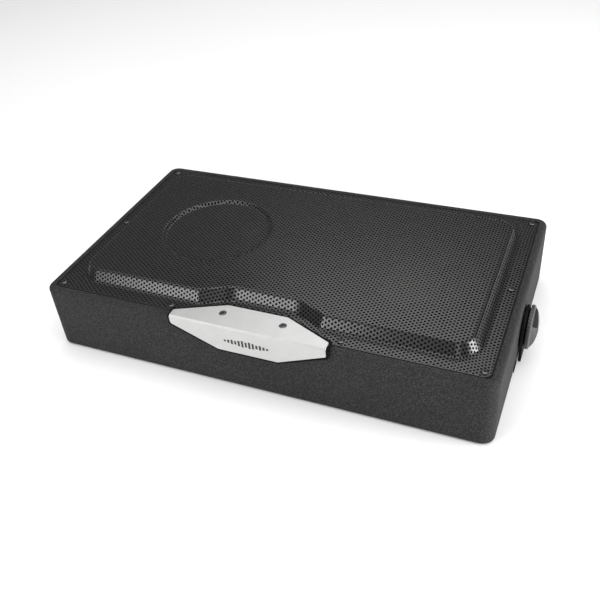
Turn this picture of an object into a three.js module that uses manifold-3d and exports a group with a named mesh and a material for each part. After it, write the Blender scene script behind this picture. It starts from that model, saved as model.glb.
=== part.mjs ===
// Powered subwoofer for a car: a shallow coated board cabinet that holds one driven woofer, one
// passive radiator and an amplifier, under a pressed perforated-steel grille.
// Millimetres. Origin at the centre of the underside, +X right, -Y front (badge side), +Z up.

import * as THREE from 'three';
import { mergeVertices } from 'three/addons/utils/BufferGeometryUtils.js';
import Module from 'manifold-3d';

const wasm = await Module();
wasm.setup();

// ---- driving dimensions -------------------------------------------------------------------

const WIDTH = 520; // cabinet, left to right
const DEPTH = 300; // cabinet, front to back
const HEIGHT = 84; // cabinet, underside to rim
const WALL = 9; // wall and floor board
const CORNER_R = 13; // upright corners, in plan
const EDGE_R = 5; // rounding of the long edges
const GAP = 0.3; // air left between touching pieces

const BAFFLE_T = 12; // driver board
const REBATE = 3; // how deep a driver flange is let in

const SHEET_T = 1.2; // grille steel
const GRILLE_W = 499.6;
const GRILLE_D = 280;
const GRILLE_TOP = HEIGHT - 0.6; // top of the grille's flat border
const RISE = 13; // pressed plateau above the border
const SLOPE_RUN = 8; // width of the pressed slope, in plan
const FOOT_X = 234; // foot of the slope, from the middle
const FOOT_Y = 121.3;
const FOOT_R = 26; // plan radius of the slope's foot at each corner
const JOG_Y = 105; // foot of the slope behind the badge
const JOG_X1 = 39.9; // where the jog ends
const JOG_X2 = 75.4; // where the jog starts
const DIMPLE = { x: -110, y: 2, r: 66, depth: 3, run: 3 }; // round recess over the radiator

const WOOFER = { x: 131, y: 0 };
const RADIATOR = { x: -112, y: 0 };
const FLANGE_R = 104; // both drivers
const CUTOUT_R = 93;
const RIM_R = 80; // outer edge of the cone and of the radiator's plate
const COIL_R = 26; // outside of the voice coil's former
const CAP_R = 38; // dust cap

// Clamp knobs on both sides. lean is how far the grip leans back from upright, in degrees.
const KNOB = { y: -5, z: HEIGHT / 2, r: 24.5, lean: 40 };
const STRAP_T = 3.2;
const STRAP_CLEAR = 1.3; // from the wall to the strap
const STRAP_W = 30;
const WASHER_T = 1;

const PANEL = { x: -122, z: 41, w: 190, h: 62, t: 2 }; // amplifier panel on the back wall
const SEG = 32; // sides of a driver's round parts

const baffleTop = GRILLE_TOP - SHEET_T - GAP;
const rebateZ = baffleTop - REBATE;
const flangeTop = rebateZ + GAP + 2.4;
const backY = DEPTH / 2;
const sideX = WIDTH / 2;

// ---- geometry helpers ---------------------------------------------------------------------

// A closed geometry of positions only: shared corners merged, flat triangles dropped and the
// faces turned outward.
function closed(source) {
  const g = source.clone();
  g.deleteAttribute('normal');
  g.deleteAttribute('uv');
  const merged = mergeVertices(g, 1e-4);
  const p = merged.attributes.position;
  const old = merged.index.array;
  const kept = [];
  let volume = 0;
  const [a, b, c] = [new THREE.Vector3(), new THREE.Vector3(), new THREE.Vector3()];
  for (let i = 0; i < old.length; i += 3) {
    const [i0, i1, i2] = [old[i], old[i + 1], old[i + 2]];
    if (i0 === i1 || i1 === i2 || i2 === i0) continue;
    kept.push(i0, i1, i2);
    a.fromBufferAttribute(p, i0);
    b.fromBufferAttribute(p, i1);
    c.fromBufferAttribute(p, i2);
    volume += a.dot(b.cross(c));
  }
  if (volume < 0) kept.reverse();
  merged.setIndex(kept);
  return merged;
}

function solid(geometry) {
  const g = closed(geometry);
  return new wasm.Manifold(new wasm.Mesh({
    numProp: 3,
    vertProperties: new Float32Array(g.attributes.position.array),
    triVerts: new Uint32Array(g.index.array),
  }));
}

function geometryOf(manifold) {
  const mesh = manifold.getMesh();
  const g = new THREE.BufferGeometry();
  g.setAttribute('position', new THREE.BufferAttribute(new Float32Array(mesh.vertProperties), 3));
  g.setIndex([...mesh.triVerts]);
  return g;
}

function cut(body, ...tools) {
  let left = solid(body);
  for (const tool of tools) left = left.subtract(solid(tool));
  return geometryOf(left);
}

function join(first, ...others) {
  let all = solid(first);
  for (const other of others) all = all.add(solid(other));
  return geometryOf(all);
}

function keepInside(body, region) {
  return geometryOf(solid(body).intersect(solid(region)));
}

// A box given by its lowest and highest corners.
function box(x0, x1, y0, y1, z0, z1) {
  return new THREE.BoxGeometry(x1 - x0, y1 - y0, z1 - z0)
    .translate((x0 + x1) / 2, (y0 + y1) / 2, (z0 + z1) / 2);
}

// A turned piece about the Z axis. The profile is a list of [radius, z].
function turned(profile, segments = SEG) {
  const points = profile.map(([r, z]) => new THREE.Vector2(r, z));
  return new THREE.LatheGeometry(points, segments).rotateX(Math.PI / 2);
}

// A turned ring: the profile goes round a section and comes back to its first point.
function ring(profile, segments = SEG) {
  return turned([...profile, profile[0]], segments);
}

function disc(r, z0, z1, segments = 24) {
  return turned([[0, z0], [r, z0], [r, z1], [0, z1]], segments);
}

function extruded(shape, depth, curveSegments = 8) {
  return new THREE.ExtrudeGeometry(shape, { depth, bevelEnabled: false, curveSegments });
}

function roundedRect(w, h, r) {
  const s = new THREE.Shape();
  s.moveTo(-w / 2 + r, -h / 2);
  s.lineTo(w / 2 - r, -h / 2);
  s.absarc(w / 2 - r, -h / 2 + r, r, -Math.PI / 2, 0);
  s.lineTo(w / 2, h / 2 - r);
  s.absarc(w / 2 - r, h / 2 - r, r, 0, Math.PI / 2);
  s.lineTo(-w / 2 + r, h / 2);
  s.absarc(-w / 2 + r, h / 2 - r, r, Math.PI / 2, Math.PI);
  s.lineTo(-w / 2, -h / 2 + r);
  s.absarc(-w / 2 + r, -h / 2 + r, r, Math.PI, Math.PI * 1.5);
  return s;
}

// Points [r, z] along an arc of a section, from angle a0 to a1 in degrees.
function arc(r0, z0, radius, a0, a1, steps) {
  const points = [];
  for (let i = 0; i <= steps; i += 1) {
    const a = THREE.MathUtils.degToRad(a0 + ((a1 - a0) * i) / steps);
    points.push([r0 + radius * Math.cos(a), z0 + radius * Math.sin(a)]);
  }
  return points;
}

// ---- materials ----------------------------------------------------------------------------

const finish = (color, roughness, metalness = 0) =>
  new THREE.MeshStandardMaterial({ color, roughness, metalness });

const COATING = finish('#3a3a3c', 0.85);
const BOARD = finish('#9a7b52', 0.8);
const STEEL_BLACK = finish('#26262a', 0.45, 0.3);
const SCREW_BLACK = finish('#1b1b1d', 0.35, 0.6);
const SILVER = finish('#c9cacc', 0.3, 0.9);
const RUBBER = finish('#151516', 0.8);
const PAPER = finish('#222224', 0.75);
const FERRITE = finish('#3b3c40', 0.7, 0.1);
const ZINC = finish('#a9acb0', 0.4, 0.9);
const COPPER = finish('#9c5a34', 0.4, 0.8);
const FABRIC = finish('#b28a4a', 0.9);
const PLASTIC = finish('#303033', 0.5);
const ALUMINIUM = finish('#8d9094', 0.4, 0.9);
const PCB = finish('#1f5a36', 0.6);
const GOLD = finish('#c9a54b', 0.3, 0.9);
const LED = finish('#3f7fd0', 0.2);
const AMBER = finish('#d0741f', 0.3);

const part = new THREE.Group();

function add(name, geometry, material, place = [0, 0, 0]) {
  const mesh = new THREE.Mesh(closed(geometry), material);
  mesh.name = name;
  mesh.position.set(...place);
  part.add(mesh);
  return mesh;
}

// ---- cabinet: five coated boards and the driver board ---------------------------------------

const innerX = sideX - WALL;
const innerY = backY - WALL;

const block = new THREE.ExtrudeGeometry(
  roundedRect(WIDTH - 2 * EDGE_R, DEPTH - 2 * EDGE_R, CORNER_R - EDGE_R),
  {
    depth: HEIGHT - 2 * EDGE_R,
    bevelThickness: EDGE_R,
    bevelSize: EDGE_R,
    bevelSegments: 2,
    curveSegments: 3,
  },
).translate(0, 0, EDGE_R);

const past = 20; // how far a cutting tool runs past the body
const frontWall = keepInside(
  block,
  box(-sideX - past, sideX + past, -backY - past, -innerY, -past, HEIGHT + past),
);
const backWall = keepInside(
  block,
  box(-sideX - past, sideX + past, innerY, backY + past, -past, HEIGHT + past),
);
const panelHole = box(
  PANEL.x - PANEL.w / 2 + 9, PANEL.x + PANEL.w / 2 - 9,
  innerY - past, backY + past,
  PANEL.z - PANEL.h / 2 + 8, PANEL.z + PANEL.h / 2 - 8,
);
add('cabinet_front', frontWall, COATING);
add('cabinet_back', cut(backWall, panelHole), COATING);

for (const [name, side] of [['left', -1], ['right', 1]]) {
  const region = box(
    Math.min(side * innerX, side * (sideX + past)),
    Math.max(side * innerX, side * (sideX + past)),
    -innerY + GAP, innerY - GAP, -past, HEIGHT + past,
  );
  const studHole = disc(3.4, -past, past + WALL)
    .rotateY(Math.PI / 2)
    .translate(side * innerX, KNOB.y, KNOB.z);
  add(`cabinet_${name}`, cut(keepInside(block, region), studHole), COATING);
}
add('cabinet_floor', box(
  -innerX + GAP, innerX - GAP,
  -innerY + GAP, innerY - GAP,
  0, WALL,
), COATING);

const baffle = box(
  -innerX + GAP, innerX - GAP,
  -innerY + GAP, innerY - GAP,
  baffleTop - BAFFLE_T, baffleTop,
);
const seats = [];
for (const at of [WOOFER, RADIATOR]) {
  seats.push(disc(CUTOUT_R, 0, HEIGHT, SEG).translate(at.x, at.y, 0));
  seats.push(disc(FLANGE_R + GAP, rebateZ, HEIGHT, SEG).translate(at.x, at.y, 0));
}
add('baffle_board', cut(baffle, ...seats), BOARD);

// ---- grille: one pressed sheet, flat border, slope, plateau and a round recess -------------

// The slope's outline in plan, walked anticlockwise. inset is 0 at the foot and SLOPE_RUN at the
// top; the corners keep one centre, so every outline has the same number of points.
function slopeOutline(inset) {
  const x = FOOT_X - inset;
  const y = FOOT_Y - inset;
  const r = FOOT_R - inset;
  const tilt = Math.atan2(FOOT_Y - JOG_Y, JOG_X2 - JOG_X1) / 2;
  const slip = inset * Math.tan(tilt); // a mitred corner moves sideways by this
  const points = [
    [-JOG_X2 + slip, -y], [-JOG_X1 + slip, -JOG_Y + inset],
    [JOG_X1 - slip, -JOG_Y + inset], [JOG_X2 - slip, -y],
  ];
  for (const [sx, sy, start] of [[1, -1, -90], [1, 1, 0], [-1, 1, 90], [-1, -1, 180]]) {
    points.push(...arc(sx * (x - r), sy * (y - r), r, start, start + 90, 5));
  }
  return points;
}

function circleOutline(r, n = 32) {
  return arc(DIMPLE.x, DIMPLE.y, r, 0, 360 - 360 / n, n - 1);
}

// Both faces of the sheet are the same set of flat regions and bands, SHEET_T apart.
function pressedSheet() {
  const outer = roundedRect(GRILLE_W, GRILLE_D, 8).getPoints(3)
    .map((p) => [p.x, p.y]);
  outer.pop();
  const foot = slopeOutline(0);
  const crest = slopeOutline(SLOPE_RUN);
  const lip = circleOutline(DIMPLE.r);
  const well = circleOutline(DIMPLE.r - DIMPLE.run);
  const heights = [0, 0, RISE, RISE, RISE - DIMPLE.depth];
  const loops = [outer, foot, crest, lip, well];
  const corners = [];
  const starts = [];
  loops.forEach((loop, i) => {
    starts.push(corners.length);
    loop.forEach(([x, y]) => corners.push([x, y, GRILLE_TOP + heights[i]]));
  });
  const triangles = [];
  const region = (rim, hole) => {
    const toVector = ([x, y]) => new THREE.Vector2(x, y);
    const ids = loops[rim].map((_, k) => starts[rim] + k);
    if (hole) loops[hole].forEach((_, k) => ids.push(starts[hole] + k));
    const holes = hole ? [loops[hole].map(toVector)] : [];
    const faces = THREE.ShapeUtils.triangulateShape(loops[rim].map(toVector), holes);
    for (const f of faces) triangles.push(f.map((k) => ids[k]));
  };
  const band = (from, to) => {
    const n = loops[from].length;
    for (let k = 0; k < n; k += 1) {
      const next = (k + 1) % n;
      const [a, b] = [starts[from] + k, starts[from] + next];
      const [c, d] = [starts[to] + next, starts[to] + k];
      triangles.push([a, b, c], [a, c, d]);
    }
  };
  region(0, 1);
  band(1, 2);
  region(2, 3);
  band(3, 4);
  region(4, 0);
  const count = corners.length;
  const under = corners.map(([x, y, z]) => [x, y, z - SHEET_T]);
  const all = [...triangles, ...triangles.map(([a, b, c]) => [a + count, c + count, b + count])];
  for (let k = 0; k < outer.length; k += 1) {
    const next = (k + 1) % outer.length;
    all.push([k, count + k, count + next], [k, count + next, next]);
  }
  const g = new THREE.BufferGeometry();
  g.setAttribute('position', new THREE.Float32BufferAttribute([...corners, ...under].flat(), 3));
  g.setIndex(all.flat());
  return g;
}

// Grille screws: [x, y] from the middle. Each head sits on the border and its shank bites the
// driver board.
const SCREW_X = 243;
const SCREW_Y = 133.6;
const grilleScrews = {
  front_left: [-SCREW_X, -SCREW_Y],
  front_right: [SCREW_X, -SCREW_Y],
  back_left: [-SCREW_X, SCREW_Y],
  back_right: [SCREW_X, SCREW_Y],
  side_left: [-SCREW_X, 0],
  side_right: [SCREW_X, 0],
  mid_left: [-98.8, -SCREW_Y],
  mid_right: [98.8, -SCREW_Y],
};
const SHANK_R = 1.6;
const shankHole = (x, y) => disc(SHANK_R + 2 * GAP, baffleTop - BAFFLE_T - past, HEIGHT + past, 8)
  .translate(x, y, 0);
const screwHoles = Object.values(grilleScrews).map(([x, y]) => shankHole(x, y));
part.getObjectByName('baffle_board').geometry = closed(
  cut(part.getObjectByName('baffle_board').geometry, ...screwHoles),
);

function screw(headR, headH, shankLength) {
  return turned([
    [0, -shankLength], [SHANK_R, -shankLength + 2], [SHANK_R, 0], [headR, 0],
    [headR * 0.8, headH], [0, headH],
  ], 8);
}

for (const [name, [x, y]] of Object.entries(grilleScrews)) {
  add(`grille_screw_${name}`, screw(3.4, 1.6, 10), SCREW_BLACK, [x, y, GRILLE_TOP + GAP]);
}

// ---- badge: silver plate folded over the front edge, on a black rubber pad -------------------

const BADGE = {
  tipX: 90, // half width at the fold
  midX: 35, // half width of the straight top and bottom edges
  topTipY: -143, topMidY: -118.8,
  frontTipZ: -6.7, frontMidZ: -29.3, // below the rim
};
const PAD_T = 1;
const PLATE_T = 2.4;
const badgeScrewX = 35;
const badgeScrewY = -132.9;

// One folded layer: the part over the rim and the part down the front, joined at the fold.
// low and high are its clearances from the cabinet's surfaces, grow widens the outline.
function foldedLayer(low, high, grow) {
  const B = BADGE;
  const faceY = -backY - high;
  const top = new THREE.Shape([
    new THREE.Vector2(-B.tipX - grow, faceY), new THREE.Vector2(B.tipX + grow, faceY),
    new THREE.Vector2(B.tipX + grow, B.topTipY + grow),
    new THREE.Vector2(B.midX, B.topMidY + grow),
    new THREE.Vector2(-B.midX, B.topMidY + grow),
    new THREE.Vector2(-B.tipX - grow, B.topTipY + grow),
  ]);
  const front = new THREE.Shape([
    new THREE.Vector2(-B.tipX - grow, HEIGHT + high),
    new THREE.Vector2(-B.tipX - grow, HEIGHT + B.frontTipZ - grow),
    new THREE.Vector2(-B.midX, HEIGHT + B.frontMidZ - grow),
    new THREE.Vector2(B.midX, HEIGHT + B.frontMidZ - grow),
    new THREE.Vector2(B.tipX + grow, HEIGHT + B.frontTipZ - grow),
    new THREE.Vector2(B.tipX + grow, HEIGHT + high),
  ]);
  const thick = high - low;
  const over = extruded(top, thick).translate(0, 0, HEIGHT + low);
  const down = extruded(front, thick).rotateX(Math.PI / 2).translate(0, -backY - low, 0);
  return join(over, down);
}

const padLow = GAP;
const plateLow = padLow + PAD_T + GAP;
const plateHigh = plateLow + PLATE_T;
const badgeHoles = [-badgeScrewX, badgeScrewX].map((x) => disc(2.3, 0, HEIGHT + past, 8)
  .translate(x, badgeScrewY, 0));
const badgeSinks = [-badgeScrewX, badgeScrewX].map((x) => disc(4.4, 0, past, 12)
  .translate(x, badgeScrewY, HEIGHT + plateHigh - 1.4));
const foldChamfer = new THREE.BoxGeometry(2 * BADGE.tipX + 40, 6, 6)
  .rotateX(Math.PI / 4)
  .translate(0, -backY - plateHigh - 1.9, HEIGHT + plateHigh + 1.9);
add('badge_pad', cut(foldedLayer(padLow, padLow + PAD_T, 0.8), ...badgeHoles), RUBBER);
add(
  'badge_plate',
  cut(foldedLayer(plateLow, plateHigh, 0), ...badgeHoles, ...badgeSinks, foldChamfer),
  SILVER,
);
for (const [name, x] of [['left', -badgeScrewX], ['right', badgeScrewX]]) {
  add(
    `badge_screw_${name}`,
    screw(3.8, 1.0, 12),
    SCREW_BLACK,
    [x, badgeScrewY, HEIGHT + plateHigh - 1.4 + GAP],
  );
}
const baffleNode = part.getObjectByName('baffle_board');
baffleNode.geometry = closed(cut(baffleNode.geometry, ...badgeHoles));
const grilleHoles = [...screwHoles, ...badgeHoles];
add('grille_sheet', cut(pressedSheet(), ...grilleHoles), STEEL_BLACK);

// ---- woofer ---------------------------------------------------------------------------------

const TOP_PLATE = { z0: 36.3, z1: 42 };
const MAGNET = { z0: 20, z1: 36 };
const YOKE_Z = 13;
const SPIDER_Z = 55;
const NECK_Z = 61; // where the former meets the cone
const coneRimZ = flangeTop + 0.4;

// Basket: a flat rim, a sloped wall with six windows, a shelf for the spider and a floor.
const basketWall = ring([
  [CUTOUT_R - 3, rebateZ + GAP], [FLANGE_R, rebateZ + GAP], [FLANGE_R, flangeTop],
  [CUTOUT_R - 5, flangeTop], [CUTOUT_R - 7, flangeTop - 3], [66, SPIDER_Z - 2],
  [58, SPIDER_Z - 2], [50, TOP_PLATE.z1 + GAP + 2.2], [30, TOP_PLATE.z1 + GAP + 2.2],
  [30, TOP_PLATE.z1 + GAP], [52, TOP_PLATE.z1 + GAP], [60, SPIDER_Z - 4.2],
  [67.5, SPIDER_Z - 4.2],
]);
const windows = [];
for (let i = 0; i < 6; i += 1) {
  const w = box(70, 84, -24, 24, 58, 72);
  windows.push(w.rotateZ((i * Math.PI) / 3));
}
add('woofer_basket', cut(basketWall, ...windows), STEEL_BLACK, [WOOFER.x, WOOFER.y, 0]);

add('woofer_magnet', ring([
  [34, MAGNET.z0], [64, MAGNET.z0], [64, MAGNET.z1], [34, MAGNET.z1],
]), FERRITE, [WOOFER.x, WOOFER.y, 0]);

add('woofer_top_plate', ring([
  [27.7, TOP_PLATE.z0], [60, TOP_PLATE.z0], [60, TOP_PLATE.z1], [27.7, TOP_PLATE.z1],
]), ZINC, [WOOFER.x, WOOFER.y, 0]);

add('woofer_yoke', ring([
  [7, YOKE_Z], [60, YOKE_Z], [60, MAGNET.z0 - GAP], [24.6, MAGNET.z0 - GAP],
  [24.6, TOP_PLATE.z1 + 1], [7, TOP_PLATE.z1 + 1],
]), ZINC, [WOOFER.x, WOOFER.y, 0]);

add('voice_coil', ring([
  [COIL_R - 0.9, 30], [COIL_R, 30], [COIL_R, 32], [COIL_R + 1.2, 32.4], [COIL_R + 1.2, 45.6],
  [COIL_R, 46], [COIL_R, NECK_Z - GAP], [COIL_R - 0.9, NECK_Z - GAP],
]), COPPER, [WOOFER.x, WOOFER.y, 0]);

// Spider: a corrugated fabric disc from the former out to the basket's shelf.
const waves = [];
const WAVES = 5;
for (let i = 0; i <= WAVES; i += 1) {
  waves.push([COIL_R + GAP + 3 + i * 5.6, SPIDER_Z + (i % 2 ? 1 : -1) * 1.2]);
}
const spiderTop = [[COIL_R + GAP, SPIDER_Z], ...waves, [60, SPIDER_Z], [64.5, SPIDER_Z]];
add('spider', ring([
  ...spiderTop.map(([r, z]) => [r, z - 0.4]),
  ...[...spiderTop].reverse().map(([r, z]) => [r, z + 0.4]),
]), FABRIC, [WOOFER.x, WOOFER.y, 0]);

add('woofer_cone', ring([
  [COIL_R - 0.9, NECK_Z], [COIL_R + 2.2, NECK_Z], [RIM_R, coneRimZ - 1.6], [RIM_R, coneRimZ],
  [COIL_R - 0.9, NECK_Z + 2],
]), PAPER, [WOOFER.x, WOOFER.y, 0]);

// Dust cap: a dome that stands on the cone.
const CAP_RISE = 10;
const CAP_T = 0.9;
const capZ = NECK_Z + 2 + ((CAP_R - COIL_R + 0.9) / (RIM_R - COIL_R + 0.9))
  * (coneRimZ - NECK_Z - 2) + GAP;
const capBall = (CAP_R ** 2 + CAP_RISE ** 2) / (2 * CAP_RISE);
const capHalf = THREE.MathUtils.radToDeg(Math.asin(CAP_R / capBall));
const capUnder = arc(0, capZ + CAP_RISE - capBall, capBall, 90, 90 - capHalf, 4);
capUnder[0][0] = 0;
const capOver = capUnder.map(([r, z]) => [r, z + CAP_T]).reverse();
add('dust_cap', turned([...capUnder, ...capOver]), PAPER, [WOOFER.x, WOOFER.y, 0]);

// Half-roll surround: glued lips outside and inside, one roll between them.
const rollR = 86;
const rollSize = 6;
const lipZ = flangeTop + GAP;
function surround() {
  const t = 0.9;
  const outerLip = 95.7;
  const over = arc(rollR, lipZ + t, rollSize, 0, 180, 6);
  const under = arc(rollR, lipZ + t, rollSize - t, 180, 0, 6);
  return ring([
    [outerLip, lipZ], [outerLip, lipZ + t], ...over,
    [rollR - rollSize - 4, lipZ + t], [rollR - rollSize - 4, lipZ + 0.2], ...under,
    [rollR + rollSize - t, lipZ],
  ]);
}
add('woofer_surround', surround(), RUBBER, [WOOFER.x, WOOFER.y, 0]);

// ---- passive radiator -------------------------------------------------------------------------

add('radiator_frame', ring([
  [CUTOUT_R - 5, rebateZ - 8], [CUTOUT_R - 2.5, rebateZ - 8], [CUTOUT_R - 1, rebateZ + GAP],
  [FLANGE_R, rebateZ + GAP], [FLANGE_R, flangeTop], [CUTOUT_R - 5, flangeTop],
]), STEEL_BLACK, [RADIATOR.x, RADIATOR.y, 0]);

add('radiator_plate', turned([
  [0, coneRimZ - 9], [22, coneRimZ - 9], [RIM_R, coneRimZ - 3],
  [RIM_R, coneRimZ], [26, coneRimZ - 5], [0, coneRimZ - 5],
]), PAPER, [RADIATOR.x, RADIATOR.y, 0]);

add('radiator_weight', ring([
  [3, coneRimZ - 15], [19, coneRimZ - 15], [19, coneRimZ - 9 - GAP], [3, coneRimZ - 9 - GAP],
], 24), ZINC, [RADIATOR.x, RADIATOR.y, 0]);

add('radiator_surround', surround(), RUBBER, [RADIATOR.x, RADIATOR.y, 0]);

// ---- amplifier: panel on the back wall, with the board and its parts behind it --------------

const panelY = backY + GAP;
const faceY = panelY + PANEL.t;
const column = (i) => PANEL.x - PANEL.w / 2 + i; // x of a fitting, from the panel's left end

// A piece that stands out of the panel: turned about the Y axis, z of the profile is depth.
function panelTurned(profile, segments = 12) {
  return turned(profile, segments).rotateX(-Math.PI / 2);
}

const upperZ = PANEL.z + 13;
const lowerZ = PANEL.z - 13;
const knobs = {
  level_knob: [column(150), upperZ],
  crossover_knob: [column(128), upperZ],
  boost_knob: [column(106), upperZ],
};
const phaseAt = [column(140), lowerZ];
const SWITCH_TRAVEL = 4;
const inputs = { rca_socket_left: [column(102), lowerZ], rca_socket_right: [column(84), lowerZ] };
const LED_AT = [column(172), upperZ];

const panelShape = roundedRect(PANEL.w, PANEL.h, 5);
const openings = [];
const drill = (x, z, r) => openings.push(
  disc(r, -past, past, 12).rotateX(-Math.PI / 2).translate(x, backY, z),
);
for (const [x, z] of Object.values(knobs)) drill(x, z, 3.4);
for (const [x, z] of Object.values(inputs)) drill(x, z, 4.4);
drill(...LED_AT, 1.9);
openings.push(box(
  phaseAt[0] - 1.9, phaseAt[0] + 1.9 + SWITCH_TRAVEL, backY - past, backY + past,
  phaseAt[1] - 1.9, phaseAt[1] + 1.9,
));
const power = { x0: column(12), x1: column(60), z0: lowerZ - 7, z1: lowerZ + 7 };
const level = { x0: column(66), x1: column(92), z0: upperZ - 6, z1: upperZ + 6 };
const fuse = { x0: column(14), x1: column(34), z0: upperZ - 5, z1: upperZ + 5 };
for (const s of [power, level, fuse]) {
  openings.push(box(
    s.x0 - GAP, s.x1 + GAP, backY - past, backY + past, s.z0 - GAP, s.z1 + GAP,
  ));
}
const panelScrewAt = {
  lower_left: [-1, -1], lower_right: [1, -1], upper_left: [-1, 1], upper_right: [1, 1],
};
const panelScrewPlace = ([sx, sz]) => [
  PANEL.x + sx * (PANEL.w / 2 - 4.4), PANEL.z + sz * (PANEL.h / 2 - 4.2),
];
const wallHoles = [];
for (const corner of Object.values(panelScrewAt)) {
  const [x, z] = panelScrewPlace(corner);
  drill(x, z, SHANK_R + 2 * GAP);
  wallHoles.push(openings.at(-1));
}
const backNode = part.getObjectByName('cabinet_back');
backNode.geometry = closed(cut(backNode.geometry, ...wallHoles));
const panelPlate = extruded(panelShape, PANEL.t, 4)
  .rotateX(Math.PI / 2)
  .translate(PANEL.x, faceY, PANEL.z);
add('amp_panel', cut(panelPlate, ...openings), ALUMINIUM);

for (const [name, corner] of Object.entries(panelScrewAt)) {
  const [x, z] = panelScrewPlace(corner);
  const shape = screw(3, 1.6, 9).rotateX(-Math.PI / 2);
  add(`panel_screw_${name}`, shape, SCREW_BLACK, [x, faceY + GAP, z]);
}

for (const [name, [x, z]] of Object.entries(knobs)) {
  const body = panelTurned([
    [0, -12], [3, -12], [3, PANEL.t + GAP], [6.5, PANEL.t + GAP], [6, 10], [0, 10],
  ], 16);
  const pointer = box(-0.6, 0.6, 8, 12, 1.5, 7);
  add(name, cut(body, pointer), PLASTIC, [x, panelY, z]);
}
add('phase_switch', box(
  phaseAt[0] - 1.6, phaseAt[0] + 1.6, panelY - 5, faceY + 3.2, phaseAt[1] - 1.5, phaseAt[1] + 1.5,
), PLASTIC);
for (const [name, [x, z]] of Object.entries(inputs)) {
  add(name, panelTurned([
    [2, -8], [4.1, -8], [4.1, 11], [3.2, 11], [3.2, 2], [2, 2], [2, -8],
  ]), GOLD, [x, panelY, z]);
}
add('status_light', panelTurned(
  [[0, -6], [1.6, -6], [1.6, 2.6], [1.1, 3.4], [0, 3.4]], 10,
), LED, [LED_AT[0], panelY, LED_AT[1]]);

// Power terminal: a block with three wire mouths.
const powerBlock = box(power.x0, power.x1, panelY - 8, faceY + 9, power.z0, power.z1);
const mouths = [8, 24, 40].map((i) => box(
  power.x0 + i - 5, power.x0 + i + 5, faceY + 2, faceY + past, power.z0 + 3, power.z1 - 3,
));
add('power_terminal', cut(powerBlock, ...mouths), PLASTIC);

const levelBlock = box(level.x0, level.x1, panelY - 8, faceY + 1.2, level.z0, level.z1);
const levelMouth = box(
  level.x0 + 2, level.x1 - 2, faceY - 6, faceY + past, level.z0 + 2, level.z1 - 2,
);
add('speaker_input', cut(levelBlock, levelMouth), PLASTIC);
add('fuse', box(fuse.x0, fuse.x1, panelY - 6, faceY + 5, fuse.z0 + 2, fuse.z1 - 2), AMBER);

// Chassis tray with fins, the board on it, and the large parts of the power supply.
const CHASSIS = { x0: -206, x1: -38, y0: 40, y1: 136, z0: WALL + GAP };
const tray = box(CHASSIS.x0, CHASSIS.x1, CHASSIS.y0, CHASSIS.y1, CHASSIS.z0, CHASSIS.z0 + 3);
const fins = [];
for (let i = 0; i < 6; i += 1) {
  const y = CHASSIS.y0 + i * 4;
  fins.push(box(CHASSIS.x0, CHASSIS.x1, y, y + 1.5, CHASSIS.z0 + 1, CHASSIS.z0 + 24));
}
add('amp_chassis', join(tray, ...fins), ALUMINIUM);

const boardZ = CHASSIS.z0 + 3 + GAP;
add('amp_board', box(CHASSIS.x0 + 6, CHASSIS.x1 - 6, 64, 132, boardZ, boardZ + 1.6), PCB);
const partsZ = boardZ + 1.6 + GAP;
add('supply_choke', ring([
  [6, 0], [14, 0], [16, 2], [16, 11], [14, 13], [6, 13],
], 24), COPPER, [CHASSIS.x0 + 34, 84, partsZ]);
add('supply_capacitor', turned([
  [0, 0], [9, 0], [9, 23], [8, 24], [0, 24],
], 20), PLASTIC, [CHASSIS.x0 + 70, 84, partsZ]);
// The woofer's lead runs from the board to the basket.
const leadStart = new THREE.Vector3(CHASSIS.x1 - 16, 96, partsZ + 1.6);
const leadRoute = new THREE.CatmullRomCurve3([
  leadStart, new THREE.Vector3(-40, 94, 20), new THREE.Vector3(-18, 88, 30),
  new THREE.Vector3(7, 84, 38), new THREE.Vector3(30, 70, 43), new THREE.Vector3(54, 44, 47.2),
]);
const leadSection = new THREE.Shape();
leadSection.absarc(0, 0, 2, 0, Math.PI * 2);
add('woofer_lead', new THREE.ExtrudeGeometry(leadSection, {
  steps: 26, extrudePath: leadRoute, curveSegments: 4, bevelEnabled: false,
}), RUBBER);

// ---- side straps with their clamp knobs ---------------------------------------------------------

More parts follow.
